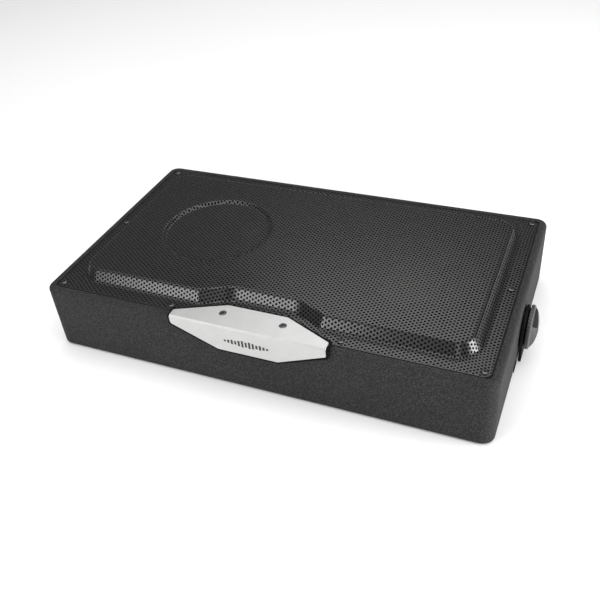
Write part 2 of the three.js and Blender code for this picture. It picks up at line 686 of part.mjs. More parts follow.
for (const [name, side] of [['left', -1], ['right', 1]]) {
  // Everything here is drawn for the right side, along +X from the wall, and given a half turn
  // about the upright line through the stud for the left side.
  const place = [side * sideX, KNOB.y, KNOB.z];
  const facing = side === 1 ? 0 : Math.PI;
  const headR = 24;
  const strapShape = new THREE.Shape();
  strapShape.absarc(0, 0, headR, -0.65, Math.PI + 0.65);
  strapShape.lineTo(-STRAP_W / 2, -headR + 4);
  strapShape.lineTo(-STRAP_W / 2, -KNOB.z + 4);
  strapShape.lineTo(-STRAP_W / 2 + 2.5, -KNOB.z + 1.5);
  strapShape.lineTo(STRAP_W / 2 - 2.5, -KNOB.z + 1.5);
  strapShape.lineTo(STRAP_W / 2, -KNOB.z + 4);
  strapShape.lineTo(STRAP_W / 2, -headR + 4);
  const studHole = new THREE.Path();
  studHole.absarc(0, 0, 3.4, 0, Math.PI * 2);
  const slot = new THREE.Path();
  slot.absarc(-4, -32, 2.6, Math.PI / 2, Math.PI * 1.5);
  slot.absarc(4, -32, 2.6, -Math.PI / 2, Math.PI / 2);
  strapShape.holes = [studHole, slot];
  const toSide = (g) => g.rotateZ(facing);
  const strap = extruded(strapShape, STRAP_T, 6)
    .rotateX(Math.PI / 2)
    .rotateZ(Math.PI / 2)
    .translate(STRAP_CLEAR, 0, 0);
  add(`strap_${name}`, toSide(strap), STEEL_BLACK, place);

  const washerX = STRAP_CLEAR + STRAP_T + GAP;
  const washer = ring([
    [3.4, washerX], [20, washerX], [20, washerX + WASHER_T], [3.4, washerX + WASHER_T],
  ], 24).rotateY(Math.PI / 2);
  add(`clamp_washer_${name}`, toSide(washer), RUBBER, place);

  // Knob: flange, low dome and a half-moon grip across it, with the stud moulded in.
  const baseX = washerX + WASHER_T + GAP;
  const body = turned([
    [0, -WALL - 5], [3, -WALL - 5], [3, baseX], [KNOB.r - 0.6, baseX], [KNOB.r, baseX + 0.8],
    [KNOB.r, baseX + 3.6], [KNOB.r - 1.5, baseX + 4.6], [12, baseX + 6], [0, baseX + 6.4],
  ], 24).rotateY(Math.PI / 2);
  const gripShape = new THREE.Shape();
  gripShape.absellipse(0, 0, KNOB.r - 1.5, 8.9, 0, Math.PI);
  const grip = extruded(gripShape, 8, 6)
    .translate(0, 0, -4)
    .rotateZ(-Math.PI / 2)
    .translate(baseX + 2, 0, 0)
    .rotateX(Math.PI / 2);
  const knob = join(body, grip).rotateX(-THREE.MathUtils.degToRad(KNOB.lean));
  add(`clamp_knob_${name}`, toSide(knob), PLASTIC, place);

  const bumper = box(GAP, 1, -38, -22, 5.6 - KNOB.z, 10 - KNOB.z);
  if (side === -1) bumper.scale(-1, 1, 1);
  add(`side_bumper_${name}`, bumper, RUBBER, place);
}

export default part;
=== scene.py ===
# Powered car subwoofer: the looks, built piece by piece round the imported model. Metres, +Z up,
# the badge side faces -Y. Sizes written in millimetres are multiplied by MM.
import math

import bmesh
import bpy
import numpy as np
from mathutils import Matrix, Quaternion, Vector


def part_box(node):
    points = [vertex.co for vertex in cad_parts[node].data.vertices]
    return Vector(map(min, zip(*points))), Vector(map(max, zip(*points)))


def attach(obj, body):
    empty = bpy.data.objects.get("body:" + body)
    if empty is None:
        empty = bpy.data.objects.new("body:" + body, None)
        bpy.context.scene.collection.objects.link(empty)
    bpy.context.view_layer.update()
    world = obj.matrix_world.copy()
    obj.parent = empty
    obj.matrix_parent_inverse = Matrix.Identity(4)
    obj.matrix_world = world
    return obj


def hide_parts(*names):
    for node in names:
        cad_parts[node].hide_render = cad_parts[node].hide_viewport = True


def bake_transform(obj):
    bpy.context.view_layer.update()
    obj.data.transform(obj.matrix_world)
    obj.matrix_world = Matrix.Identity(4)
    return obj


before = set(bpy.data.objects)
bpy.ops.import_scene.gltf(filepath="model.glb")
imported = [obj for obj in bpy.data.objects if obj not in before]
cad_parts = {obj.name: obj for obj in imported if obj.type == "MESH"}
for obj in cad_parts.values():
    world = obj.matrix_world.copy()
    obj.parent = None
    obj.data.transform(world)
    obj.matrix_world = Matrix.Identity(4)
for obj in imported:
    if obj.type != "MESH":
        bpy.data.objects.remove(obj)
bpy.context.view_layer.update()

# ---- Cabinet ----------------------------------------------------------------------------------
# Five 9 mm MDF boards, glued, rounded over and sprayed with a textured black coating that hides
# every joint, so the box shows as one seamless shell. The back has the amplifier's opening.

MM = 0.001
cabinet_left, cabinet_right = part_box("cabinet_left")[0].x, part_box("cabinet_right")[1].x
cabinet_front, cabinet_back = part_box("cabinet_front")[0].y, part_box("cabinet_back")[1].y
rim_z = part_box("cabinet_front")[1].z
half_x, half_y = (cabinet_right - cabinet_left) / 2, (cabinet_back - cabinet_front) / 2
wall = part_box("cabinet_floor")[1].z
upright_r = 13 * MM
edge_r = 5 * MM
inner_edge = 0.6 * MM
stud_hole_r = 3.4 * MM


def node(tree, kind, inputs=(), **settings):
    """Adds one shader node. An input given a socket is linked to it, any other is set."""
    made = tree.nodes.new("ShaderNode" + kind)
    for name, value in settings.items():
        setattr(made, name, value)
    for name, value in dict(inputs).items():
        if isinstance(value, bpy.types.NodeSocket):
            tree.links.new(value, made.inputs[name])
        else:
            made.inputs[name].default_value = value
    return made


def srgb(code):
    """An sRGB hex colour as the linear colour that a shader takes."""
    parts = [int(code[i:i + 2], 16) / 255 for i in (1, 3, 5)]
    return [p / 12.92 if p <= 0.04045 else ((p + 0.055) / 1.055) ** 2.4 for p in parts] + [1]


def begin(name):
    """A new material: returns it, its node tree and the point on the piece in metres."""
    material = bpy.data.materials.new(name)
    material.use_nodes = True
    material.node_tree.nodes.clear()
    where = node(material.node_tree, "TexCoord").outputs["Object"]
    return material, material.node_tree, where


def shade(tree, inputs):
    """Ends a material with one shader that has these inputs."""
    shader = node(tree, "BsdfPrincipled", inputs)
    node(tree, "OutputMaterial", {"Surface": shader.outputs[0]})


def textured_coating():
    """Sprayed polyurethane texture coat: matt, with a pebbled grain of about 1 mm, drawn a little
    coarser here so that it shows. Its pale specks are painted highlights, put on the tops of the
    fine grain as if it caught the light."""
    material, tree, where = begin("textured_polyurethane_coat")
    pebble = node(tree, "TexVoronoi", {"Vector": where, "Scale": 1 / (1.5 * MM)},
                  feature="SMOOTH_F1")
    fine = node(tree, "TexNoise", {"Vector": where, "Scale": 1 / (0.9 * MM), "Detail": 3})
    drift = node(tree, "TexNoise", {"Vector": where, "Scale": 1 / (60 * MM), "Detail": 2})
    height = node(tree, "Math", {0: pebble.outputs["Distance"], 1: fine.outputs[0]},
                  operation="MULTIPLY_ADD")
    height.inputs[2].default_value = 0.2
    # Painted highlight: pale specks where the fine grain stands highest.
    painted_glint = node(tree, "MapRange", {
        "Value": fine.outputs[0], "From Min": 0.48, "From Max": 0.66, "To Min": 0, "To Max": 1})
    grain = node(tree, "Mix", {0: painted_glint.outputs[0], 6: srgb("#161616"), 7: srgb("#444444")},
                 data_type="RGBA")
    tone = node(tree, "MapRange", {
        "Value": drift.outputs[0], "From Min": 0.3, "From Max": 0.7, "To Min": 0, "To Max": 0.3})
    colour = node(tree, "Mix", {0: tone.outputs[0], 6: grain.outputs[2], 7: srgb("#151515")},
                  data_type="RGBA")
    bump = node(tree, "Bump", {"Height": height.outputs[0], "Distance": 0.45 * MM,
                               "Strength": 0.9})
    shade(tree, {"Base Color": colour.outputs[2], "Roughness": 0.8, "IOR": 1.48,
                 "Specular IOR Level": 0.35,
                 "Normal": bump.outputs[0]})
    return material


def rounded_loop(x, y, r, z, steps=8):
    """Points of a rounded rectangle with half sizes x and y, anticlockwise, at height z."""
    points = []
    for sx, sy, start in ((1, -1, -90), (1, 1, 0), (-1, 1, 90), (-1, -1, 180)):
        for i in range(steps + 1):
            a = math.radians(start + 90 * i / steps)
            points.append((sx * (x - r) + r * math.cos(a), sy * (y - r) + r * math.sin(a), z))
    return points


def place(name, mesh, material, body, replaced=()):
    """Puts a mesh in the scene as a piece with its finish, on its body."""
    piece = bpy.data.objects.new(name, mesh)
    bpy.context.scene.collection.objects.link(piece)
    mesh.materials.clear()
    mesh.materials.append(material)
    if body:
        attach(piece, body)
    if replaced:
        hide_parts(*replaced)
    return piece


def smooth(mesh, angle=35):
    """Smooth shading, with edges sharper than the angle kept crisp."""
    mesh.shade_smooth()
    mesh.set_sharp_from_angle(angle=math.radians(angle))
    return mesh


def loft(name, loops, ring=False):
    """A closed mesh through equal loops of points, capped at both ends or joined end to end."""
    n = len(loops[0])
    faces = []
    pairs = [(k, k + 1) for k in range(len(loops) - 1)] + ([(len(loops) - 1, 0)] if ring else [])
    for a, b in pairs:
        for i in range(n):
            j = (i + 1) % n
            faces.append((a * n + i, a * n + j, b * n + j, b * n + i))
    if not ring:
        faces.append(tuple(reversed(range(n))))
        faces.append(tuple(range((len(loops) - 1) * n, len(loops) * n)))
    mesh = bpy.data.meshes.new(name)
    mesh.from_pydata([p for loop in loops for p in loop], [], faces)
    outward(mesh)
    return mesh


def outward(mesh):
    """Turns every face outward."""
    bm = bmesh.new()
    bm.from_mesh(mesh)
    bmesh.ops.recalc_face_normals(bm, faces=bm.faces)
    bm.to_mesh(mesh)
    bm.free()


def block(name, lo, hi, bevel=0, segments=2):
    """A rectangular mesh between two corners, its edges rounded by bevel."""
    bm = bmesh.new()
    bmesh.ops.create_cube(bm, size=1)
    for v in bm.verts:
        v.co = Vector((lo[k] if v.co[k] < 0 else hi[k]) for k in range(3))
    if bevel:
        bmesh.ops.bevel(bm, geom=bm.edges[:], offset=bevel, segments=segments, profile=0.5,
                        affect="EDGES", clamp_overlap=True)
    mesh = bpy.data.meshes.new(name)
    bm.to_mesh(mesh)
    bm.free()
    return mesh


def turned(name, profile, segments=64, axis="Z", centre=(0, 0, 0)):
    """A mesh turned about an axis through centre. The profile is a list of (radius, height)
    that starts and ends on the axis, or else closes on itself."""
    solid = profile[0][0] == 0 and profile[-1][0] == 0
    verts, faces, rows = [], [], []
    for r, h in profile:
        if r == 0:
            rows.append([len(verts)] * segments)
            verts.append((0, 0, h))
            continue
        rows.append([len(verts) + i for i in range(segments)])
        for i in range(segments):
            a = 2 * math.pi * i / segments
            verts.append((r * math.cos(a), r * math.sin(a), h))
    last = len(rows) - 1 if solid else len(rows)
    for k in range(last):
        a, b = rows[k], rows[(k + 1) % len(rows)]
        for i in range(segments):
            j = (i + 1) % segments
            face = []
            for v in (a[i], a[j], b[j], b[i]):
                if v not in face:
                    face.append(v)
            if len(face) > 2:
                faces.append(face)
    mesh = bpy.data.meshes.new(name)
    mesh.from_pydata(verts, [], faces)
    outward(mesh)
    turn = {"Z": Matrix.Identity(4), "Y": Matrix.Rotation(-math.pi / 2, 4, "X"),
            "X": Matrix.Rotation(math.pi / 2, 4, "Y"),
            "-X": Matrix.Rotation(-math.pi / 2, 4, "Y")}[axis]
    mesh.transform(Matrix.Translation(centre) @ turn)
    return mesh


def carve(mesh, cutters):
    """The mesh with the cutter meshes taken away."""
    body = bpy.data.objects.new("carved", mesh)
    bpy.context.scene.collection.objects.link(body)
    tools = []
    for cutter in cutters:
        tool = bpy.data.objects.new("cutter", cutter)
        bpy.context.scene.collection.objects.link(tool)
        cut = body.modifiers.new("cut", "BOOLEAN")
        cut.operation, cut.solver, cut.object = "DIFFERENCE", "EXACT", tool
        tools.append(tool)
    bpy.context.view_layer.update()
    result = bpy.data.meshes.new_from_object(
        body.evaluated_get(bpy.context.evaluated_depsgraph_get()))
    result.name = mesh.name
    for made in [body, *tools]:
        bpy.data.objects.remove(made)
    return result


shell_loops = []
for step in range(7):
    a = math.radians(15 * step)
    inset = edge_r * (1 - math.sin(a))
    shell_loops.append(rounded_loop(half_x - inset, half_y - inset, upright_r - inset,
                                    edge_r * (1 - math.cos(a))))
for step in range(7):
    a = math.radians(15 * step)
    inset = edge_r * (1 - math.cos(a))
    shell_loops.append(rounded_loop(half_x - inset, half_y - inset, upright_r - inset,
                                    rim_z - edge_r * (1 - math.sin(a))))
for inset, z in ((wall - inner_edge, rim_z), (wall, rim_z - inner_edge), (wall, wall)):
    shell_loops.append(rounded_loop(half_x - inset, half_y - inset, upright_r - inset, z))

panel_lo, panel_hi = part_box("amp_panel")
panel_hole = block("panel_hole",
                   (panel_lo.x + 9 * MM, half_y - 2 * wall, panel_lo.z + 8 * MM),
                   (panel_hi.x - 9 * MM, half_y + wall, panel_hi.z - 8 * MM))
stud_y, stud_z = (sum(b[k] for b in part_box("clamp_washer_right")) / 2 for k in (1, 2))
stud_holes = [
    turned("stud_hole", [(0, -wall), (stud_hole_r, -wall), (stud_hole_r, wall), (0, wall)], 24, "X",
           (side * (half_x - wall / 2), stud_y, stud_z)) for side in (-1, 1)]
shell = carve(loft("cabinet_shell", shell_loops), [panel_hole, *stud_holes])
cabinet_shell = place("cabinet_shell", smooth(shell), textured_coating(), "cabinet",
                      ("cabinet_front", "cabinet_back", "cabinet_left",
                                       "cabinet_right", "cabinet_floor"))
cabinet_shell.modifiers.new("flat_faces", "WEIGHTED_NORMAL").keep_sharp = True

# ---- Driver board -----------------------------------------------------------------------------
# A 12 mm MDF board let in under the grille, with a round cut-out and a rebate for each driver.
# It is sprayed flat black, so that nothing pale shows through the perforations.


def paint(nodes, material):
    """Gives CAD nodes their finish."""
    for name in nodes:
        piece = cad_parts[name]
        piece.data.materials.clear()
        piece.data.materials.append(material)


def mottled(name, low, high, size, detail, relief, gloss):
    """A finish whose colour wanders between two close ones in patches of that size, with a
    slight relief that follows them."""
    material, tree, where = begin(name)
    mottle = node(tree, "TexNoise", {"Vector": where, "Scale": 1 / size, "Detail": detail})
    colour = node(tree, "Mix", {0: mottle.outputs[0], 6: srgb(low), 7: srgb(high)},
                  data_type="RGBA")
    bump = node(tree, "Bump", {"Height": mottle.outputs[0], "Distance": relief})
    shade(tree, {"Base Color": colour.outputs[2], "Normal": bump.outputs[0], **gloss})
    return material


def blackened_mdf():
    """MDF sprayed flat black: the fibre of the board still shows as a faint mottle."""
    return mottled("flat_black_mdf", "#0c0c0d", "#1b1a1a", 2 * MM, 5, 0.1 * MM,
                   {"Roughness": 0.85, "IOR": 1.5})


paint(["baffle_board"], blackened_mdf())

# ---- Grille -----------------------------------------------------------------------------------
# One sheet of 1.2 mm steel, punched with staggered 2.7 mm holes and then pressed: a flat border,
# a slope, a raised plateau and a shallow round recess. Black powder coat. The holes were round
# before pressing, so each is laid out on the flat sheet and carried through the press here.

sheet_t = 1.2 * MM
grille_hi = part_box("grille_sheet")[1]
border_z = rim_z - 0.6 * MM
rise = grille_hi.z - border_z
slope_run = 8 * MM
bend_r = 1.9 * MM
foot_x, foot_y = 234 * MM, 121.3 * MM
crest_x, crest_y = foot_x - slope_run, foot_y - slope_run
notch_y = -97 * MM
notch_in, notch_out = 38.2 * MM, 73.6 * MM
dish = Vector((-110 * MM, 2 * MM))
dish_r, dish_depth, dish_run = 65 * MM, 3 * MM, 3.4 * MM
hole_r = 1.35 * MM
column_step, row_step = 3.48 * MM, 4.64 * MM
hem = 1.1 * MM
corner_r = 8 * MM


def filleted(corners, steps=18):
    """A polygon's points with each corner (x, y, radius) rounded."""
    points = []
    for k, (x, y, r) in enumerate(corners):
        here = Vector((x, y))
        before = (Vector(corners[k - 1][:2]) - here).normalized()
        after = (Vector(corners[(k + 1) % len(corners)][:2]) - here).normalized()
        half = before.angle(after) / 2
        middle = here + (before + after).normalized() * (r / math.sin(half))
        start = here + before * (r / math.tan(half)) - middle
        sweep = start.angle_signed(here + after * (r / math.tan(half)) - middle)
        for i in range(steps + 1):
            turn = -sweep * i / steps
            points.append(middle + Matrix.Rotation(turn, 2) @ start)
    return np.array([tuple(p) for p in points])


def nearest_on(outline, points):
    """For each point: the nearest point of the closed outline, the outward normal there and the
    distance, positive outside."""
    a, b = outline, np.roll(outline, -1, axis=0)
    keep = np.linalg.norm(b - a, axis=1) > 1e-7
    a, b = a[keep], b[keep]
    along = b - a
    size = np.sum(along ** 2, axis=1)
    side = np.stack([along[:, 1], -along[:, 0]], 1) / np.sqrt(size)[:, None]
    foot, normal, distance = np.empty_like(points), np.empty_like(points), np.empty(len(points))
    batch = 8000
    for first in range(0, len(points), batch):
        p = points[first:first + batch]
        t = np.clip(np.einsum("psk,sk->ps", p[:, None] - a[None], along) / size, 0, 1)
        q = a[None] + t[..., None] * along[None]
        gap = np.linalg.norm(p[:, None] - q, axis=2)
        best = gap.argmin(1)
        rows = np.arange(len(p))
        off = p - q[rows, best]
        sign = np.where(np.sum(off * side[best], axis=1) >= 0, 1.0, -1.0)
        far = gap[rows, best]
        unit = off * (sign / np.maximum(far, 1e-12))[:, None]
        close = (far < 0.02 * MM)[:, None]
        last = first + len(p)
        foot[first:last] = q[rows, best]
        normal[first:last] = np.where(close, side[best], unit)
        distance[first:last] = far * sign
    return foot, normal, distance


def press_profile():
    """The pressed slope in section: along the sheet, the run in plan, the drop and the tilt."""
    tilt = math.atan2(rise, slope_run)
    straight = (rise - 2 * bend_r * (1 - math.cos(tilt))) / math.sin(tilt)
    lengths = np.cumsum([0, bend_r * tilt, straight, bend_r * tilt])
    step = 0.05 * MM
    s = np.arange(0, lengths[-1] + step, step)
    angle = np.interp(s, lengths, [0, tilt, tilt, 0])
    run = np.concatenate([[0], np.cumsum(np.cos((angle[1:] + angle[:-1]) / 2) * step)])
    drop = np.concatenate([[0], np.cumsum(np.sin((angle[1:] + angle[:-1]) / 2) * step)])
    lead = bend_r * math.tan(tilt / 2)
    return s - lead, run - lead, drop * rise / drop[-1], angle


crest = filleted([
    (crest_x, -crest_y, 18 * MM), (crest_x, crest_y, 18 * MM), (-crest_x, crest_y, 18 * MM),
    (-crest_x, -crest_y, 18 * MM), (-notch_out, -crest_y, 6 * MM), (-notch_in, notch_y, 50 * MM),
    (notch_in, notch_y, 50 * MM), (notch_out, -crest_y, 6 * MM)])
profile_s, profile_run, profile_drop, profile_angle = press_profile()
slack = profile_s[-1] - profile_run[-1]


def pressed(points):
    """Where points of the flat sheet end up, with the surface's normal there."""
    foot, normal, d = nearest_on(crest, points)
    run = np.where(d > profile_s[-1], d - slack, np.interp(d, profile_s, profile_run))
    bent = d > profile_s[0]
    plan = np.where(bent[:, None], foot + normal * run[:, None], points)
    drop = np.interp(d, profile_s, profile_drop)
    tilt = np.interp(d, profile_s, profile_angle)
    out = plan - np.array(dish)
    r = np.maximum(np.linalg.norm(out, axis=1), 1e-9)
    t = np.clip((dish_r + dish_run / 2 - r) / dish_run, 0, 1)
    sunk = dish_depth * t * t * (3 - 2 * t)
    steep = dish_depth * 6 * t * (1 - t) / dish_run
    up = np.concatenate([normal * np.sin(tilt)[:, None], np.cos(tilt)[:, None]], axis=1)
    up[:, :2] -= out / r[:, None] * steep[:, None]
    up /= np.linalg.norm(up, axis=1)[:, None]
    place_z = border_z + rise - drop - sunk
    return np.concatenate([plan, place_z[:, None]], axis=1), up


def edge_distance(points, inset):
    """How far points lie outside the sheet's rounded rectangle, less inset."""
    r = corner_r - inset
    sides = np.array([grille_hi.x - inset - r, grille_hi.y - inset - r])
    past = np.abs(points[:, :2]) - sides
    return np.linalg.norm(np.maximum(past, 0), axis=1) + np.minimum(past.max(1), 0) - r


columns = int((grille_hi.x + 10 * MM) / column_step)
rows = int((grille_hi.y + 10 * MM) / row_step)
centres = np.array([(i * column_step, (j + 0.5 * (i % 2)) * row_step)
                    for i in range(-columns, columns + 1) for j in range(-rows - 1, rows + 1)])
reach = (column_step ** 2 + (row_step / 2) ** 2) / (2 * column_step)
near = reach - (row_step / 2) ** 2 / column_step
corner_offsets = np.array([(reach, 0), (near, row_step / 2), (-near, row_step / 2), (-reach, 0),
                           (-near, -row_step / 2), (near, -row_step / 2)])
hole_angles = np.radians(np.arange(12) * 30)
hole_offsets = hole_r * np.stack([np.cos(hole_angles), np.sin(hole_angles)], 1)


def perforated(name, cells):
    """The pressed sheet over these cells: each is a six-sided web round a twelve-sided hole."""
    n = len(cells)
    corners = (cells[:, None] + corner_offsets[None]).reshape(-1, 2)
    keys = np.round(corners / (0.05 * MM)).astype(np.int64)
    _, first, back = np.unique(keys, axis=0, return_index=True, return_inverse=True)
    shared = corners[first]
    back = back.reshape(n, 6)
    holes = (cells[:, None] + hole_offsets[None]).reshape(-1, 2)
    flat = np.concatenate([shared, holes])
    over, up = pressed(flat)
    under = over - up * sheet_t
    total = len(flat)
    hole_ids = len(shared) + np.arange(n * 12).reshape(n, 12)
    webs, walls = [], []
    for k in range(6):
        webs.append(np.stack([
            back[:, k], back[:, (k + 1) % 6], hole_ids[:, (2 * k + 2) % 12],
            hole_ids[:, 2 * k + 1], hole_ids[:, 2 * k]], 1))
    webs = np.concatenate(webs)
    for k in range(12):
        j = (k + 1) % 12
        walls.append(np.stack([hole_ids[:, k], hole_ids[:, j], hole_ids[:, j] + total,
                               hole_ids[:, k] + total], 1))
    walls = np.concatenate(walls)
    mesh = bpy.data.meshes.new(name)
    mesh.from_pydata(np.concatenate([over, under]).tolist(), [],
                     webs.tolist() + (webs[:, ::-1] + total).tolist() + walls.tolist())
    return mesh


corner_points = (centres[:, None] + corner_offsets[None]).reshape(-1, 2)
corner_gap = edge_distance(pressed(corner_points)[0], hem / 2).reshape(-1, 6)
whole = centres[corner_gap.max(1) < 0]
crossing = centres[(corner_gap.max(1) >= 0) & (corner_gap.min(1) < 0)]


def powder_coat():
    """Satin black powder coat on steel: a slight orange peel, and dust-fine variation in gloss."""
    material, tree, where = begin("satin_black_powder_coat")
    peel = node(tree, "TexNoise", {"Vector": where, "Scale": 1 / (1.2 * MM), "Detail": 2})
    patch = node(tree, "TexNoise", {"Vector": where, "Scale": 1 / (25 * MM), "Detail": 3})
    colour = node(tree, "Mix", {0: patch.outputs[0], 6: srgb("#1b1b1b"), 7: srgb("#242424")},
                  data_type="RGBA")
    rough = node(tree, "MapRange", {"Value": peel.outputs[0], "From Min": 0.3, "From Max": 0.7,
                                    "To Min": 0.22, "To Max": 0.31})
    bump = node(tree, "Bump", {"Height": peel.outputs[0], "Distance": 0.02 * MM})
    shade(tree, {"Base Color": colour.outputs[2], "Roughness": rough.outputs[0], "IOR": 1.55,
                 "Normal": bump.outputs[0]})
    return material


grille_coat = powder_coat()
thirds = np.digitize(whole[:, 0], [-grille_hi.x / 3, grille_hi.x / 3])
for part, third in (("left", 0), ("middle", 1), ("right", 2)):
    sheet = perforated("grille_" + part, whole[thirds == third])
    place("grille_" + part, smooth(sheet, 50), grille_coat, "cabinet",
          ("grille_sheet",))


def trimmed(mesh):
    """The cells along the outline, cut off where the hem covers the sheet's edge."""
    bm = bmesh.new()
    bm.from_mesh(mesh)
    r = corner_r - hem / 2
    for sx, sy, start in ((1, -1, -90), (1, 1, 0), (-1, 1, 90), (-1, -1, 180)):
        middle = Vector((sx * (grille_hi.x - hem / 2 - r), sy * (grille_hi.y - hem / 2 - r), 0))
        for step in range(5):
            a = math.radians(start + 22.5 * step)
            facing = Vector((math.cos(a), math.sin(a), 0))
            bmesh.ops.bisect_plane(bm, geom=bm.verts[:] + bm.edges[:] + bm.faces[:],
                                   plane_co=middle + facing * r, plane_no=facing,
                                   clear_outer=True)
    bm.to_mesh(mesh)
    bm.free()
    return mesh


edge_cells = trimmed(perforated("grille_edge", crossing))
place("grille_edge", smooth(edge_cells, 50), grille_coat, "cabinet",
      ("grille_sheet",))

# The sheet's edge is turned down into a narrow hem that stands just above the driver board.
hem_loops = []
for inset, z in ((0, border_z - 1.35 * MM), (0, border_z - 0.4 * MM), (0.15 * MM, border_z),
                 (hem - 0.15 * MM, border_z + 0.05 * MM), (hem, border_z - 0.3 * MM),
                 (hem, border_z - 1.35 * MM)):
    hem_loops.append(rounded_loop(grille_hi.x - inset, grille_hi.y - inset, corner_r - inset,
                                  z))
place("grille_hem", smooth(loft("grille_hem", hem_loops, ring=True), 50), grille_coat, "cabinet",
      ("grille_sheet",))

# ---- Grille screws ----------------------------------------------------------------------------
# Pan-head steel screws with a cross recess, chemically blacked. Each head stands on the border
# and its shank bites the driver board.


def cross_screw(name, head_r, head_h, shank):
    """A pan-head screw, its head standing up from z 0, with a cross cut into it."""
    core = 1.5 * MM
    profile = [(0, -shank), (core * 0.3, -shank), (core, -shank + 3 * MM), (core, 0),
               (head_r, 0), (head_r, head_h * 0.3), (head_r * 0.93, head_h * 0.62),
               (head_r * 0.76, head_h * 0.86), (head_r * 0.5, head_h * 0.97), (0, head_h)]
    arm, width = head_r * 0.52, head_r * 0.14
    cross = [block("slot", (-x, -y, head_h * 0.25), (x, y, head_h * 2))
             for x, y in ((arm, width), (width, arm))]
    return smooth(carve(turned(name, profile, 32), cross), 30)


def black_oxide():
    """Black oxide on steel: dark grey metal with a faint oily mottle."""
    return mottled("black_oxide_steel", "#4a4a4d", "#6a6a6d", 1 * MM, 4, 0.02 * MM,
                   {"Metallic": 1, "Roughness": 0.34})


blacked = black_oxide()
grille_screw = cross_screw("grille_screw", 3.4 * MM, 1.6 * MM, 9 * MM)
for spot in ("front_left", "front_right", "back_left", "back_right", "side_left", "side_right",
             "mid_left", "mid_right"):
    lo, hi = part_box("grille_screw_" + spot)
    mesh = grille_screw.copy()
    angle = (lo.x * 31 + lo.y * 17) * 40
    mesh.transform(Matrix.Translation(((lo.x + hi.x) / 2, (lo.y + hi.y) / 2, hi.z - 1.6 * MM))
                   @ Matrix.Rotation(angle, 4, "Z"))
    place("screw_grille_" + spot, mesh, blacked, "cabinet",
          ("grille_screw_" + spot,))

# ---- Badge ------------------------------------------------------------------------------------
# A 2.4 mm plate folded over the front edge, six-sided when flat, with a narrow facet along the
# fold. Satin-silver lacquer over a blasted casting, on a black rubber pad, held by two screws.

plate_lo, plate_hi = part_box("badge_plate")
plate_t = 2.4 * MM
facet = 2.6 * MM
facet_leg = facet / math.sqrt(2)
tip_x, mid_x = plate_hi.x, 35 * MM
top_tip, top_mid = -143 * MM, plate_hi.y
face_tip, face_mid = rim_z - 6.7 * MM, plate_lo.z


def along_fold(y=None, z=None):
    """How far a point of the badge's outer face lies from the fold, up over the rim or down."""
    if y is not None:
        return facet / 2 + y - (plate_lo.y + facet_leg)
    return -(facet / 2 + (plate_hi.z - facet_leg) - z)


def folded(mesh):
    """Bends a flat badge layer, drawn as (across, along, height), over the front edge."""
    soft = 0.3 * MM
    for v in mesh.vertices:
        s, depth = v.co.y, -v.co.z
        tilt = (np.interp(s, [facet / 2 - soft, facet / 2 + soft], [0, 1])
                + np.interp(s, [-facet / 2 - soft, -facet / 2 + soft], [0, 1])) * math.pi / 4
        if s > facet / 2:
            y, z = plate_lo.y + facet_leg + s - facet / 2, plate_hi.z
        elif s < -facet / 2:
            y, z = plate_lo.y, plate_hi.z - facet_leg + s + facet / 2
        else:
            share = s / facet + 0.5
            y, z = plate_lo.y + facet_leg * share, plate_hi.z - facet_leg * (1 - share)
        v.co = (v.co.x, y + math.cos(tilt) * depth, z - math.sin(tilt) * depth)
    return mesh


def badge_layer(name, grow, depth, thick, bevel, cutters=(), bend=True):
    """One layer, folded unless bend is off: the outline widened by grow, depth below the outer
    face."""
    ends = [(tip_x + grow, along_fold(y=top_tip) + grow, 2.2 * MM),
            (mid_x, along_fold(y=top_mid) + grow, 5 * MM),
            (-mid_x, along_fold(y=top_mid) + grow, 5 * MM),
            (-tip_x - grow, along_fold(y=top_tip) + grow, 3.4 * MM),
            (-tip_x - grow, along_fold(z=face_tip) - grow, 3.4 * MM),
            (-mid_x, along_fold(z=face_mid) - grow, 5 * MM),
            (mid_x, along_fold(z=face_mid) - grow, 5 * MM),
            (tip_x + grow, along_fold(z=face_tip) - grow, 1.6 * MM)]
    bm = bmesh.new()
    bm.faces.new([bm.verts.new((x, y, -depth)) for x, y in filleted(ends, 6)])
    soft = 0.3 * MM
    for s in (-facet / 2 - soft, -facet / 2, -facet / 2 + soft, facet / 2 - soft, facet / 2,
              facet / 2 + soft):
        bmesh.ops.bisect_plane(bm, geom=bm.verts[:] + bm.edges[:] + bm.faces[:],
                               plane_co=(0, s, 0), plane_no=(0, 1, 0))
    made = bmesh.ops.extrude_face_region(bm, geom=bm.faces[:])["geom"]
    bmesh.ops.translate(bm, verts=[g for g in made if isinstance(g, bmesh.types.BMVert)],
                        vec=(0, 0, -thick))
    bmesh.ops.recalc_face_normals(bm, faces=bm.faces)
    rim = [e for e in bm.edges if all(abs(v.co.z + depth) < 1e-6 for v in e.verts)
           and len({round(f.normal.z) for f in e.link_faces}) == 2]
    bmesh.ops.bevel(bm, geom=rim, offset=bevel, segments=3, profile=0.5, affect="EDGES")
    mesh = bpy.data.meshes.new(name)
    bm.to_mesh(mesh)
    bm.free()
    if cutters:
        mesh = carve(mesh, cutters)
    return folded(mesh) if bend else mesh


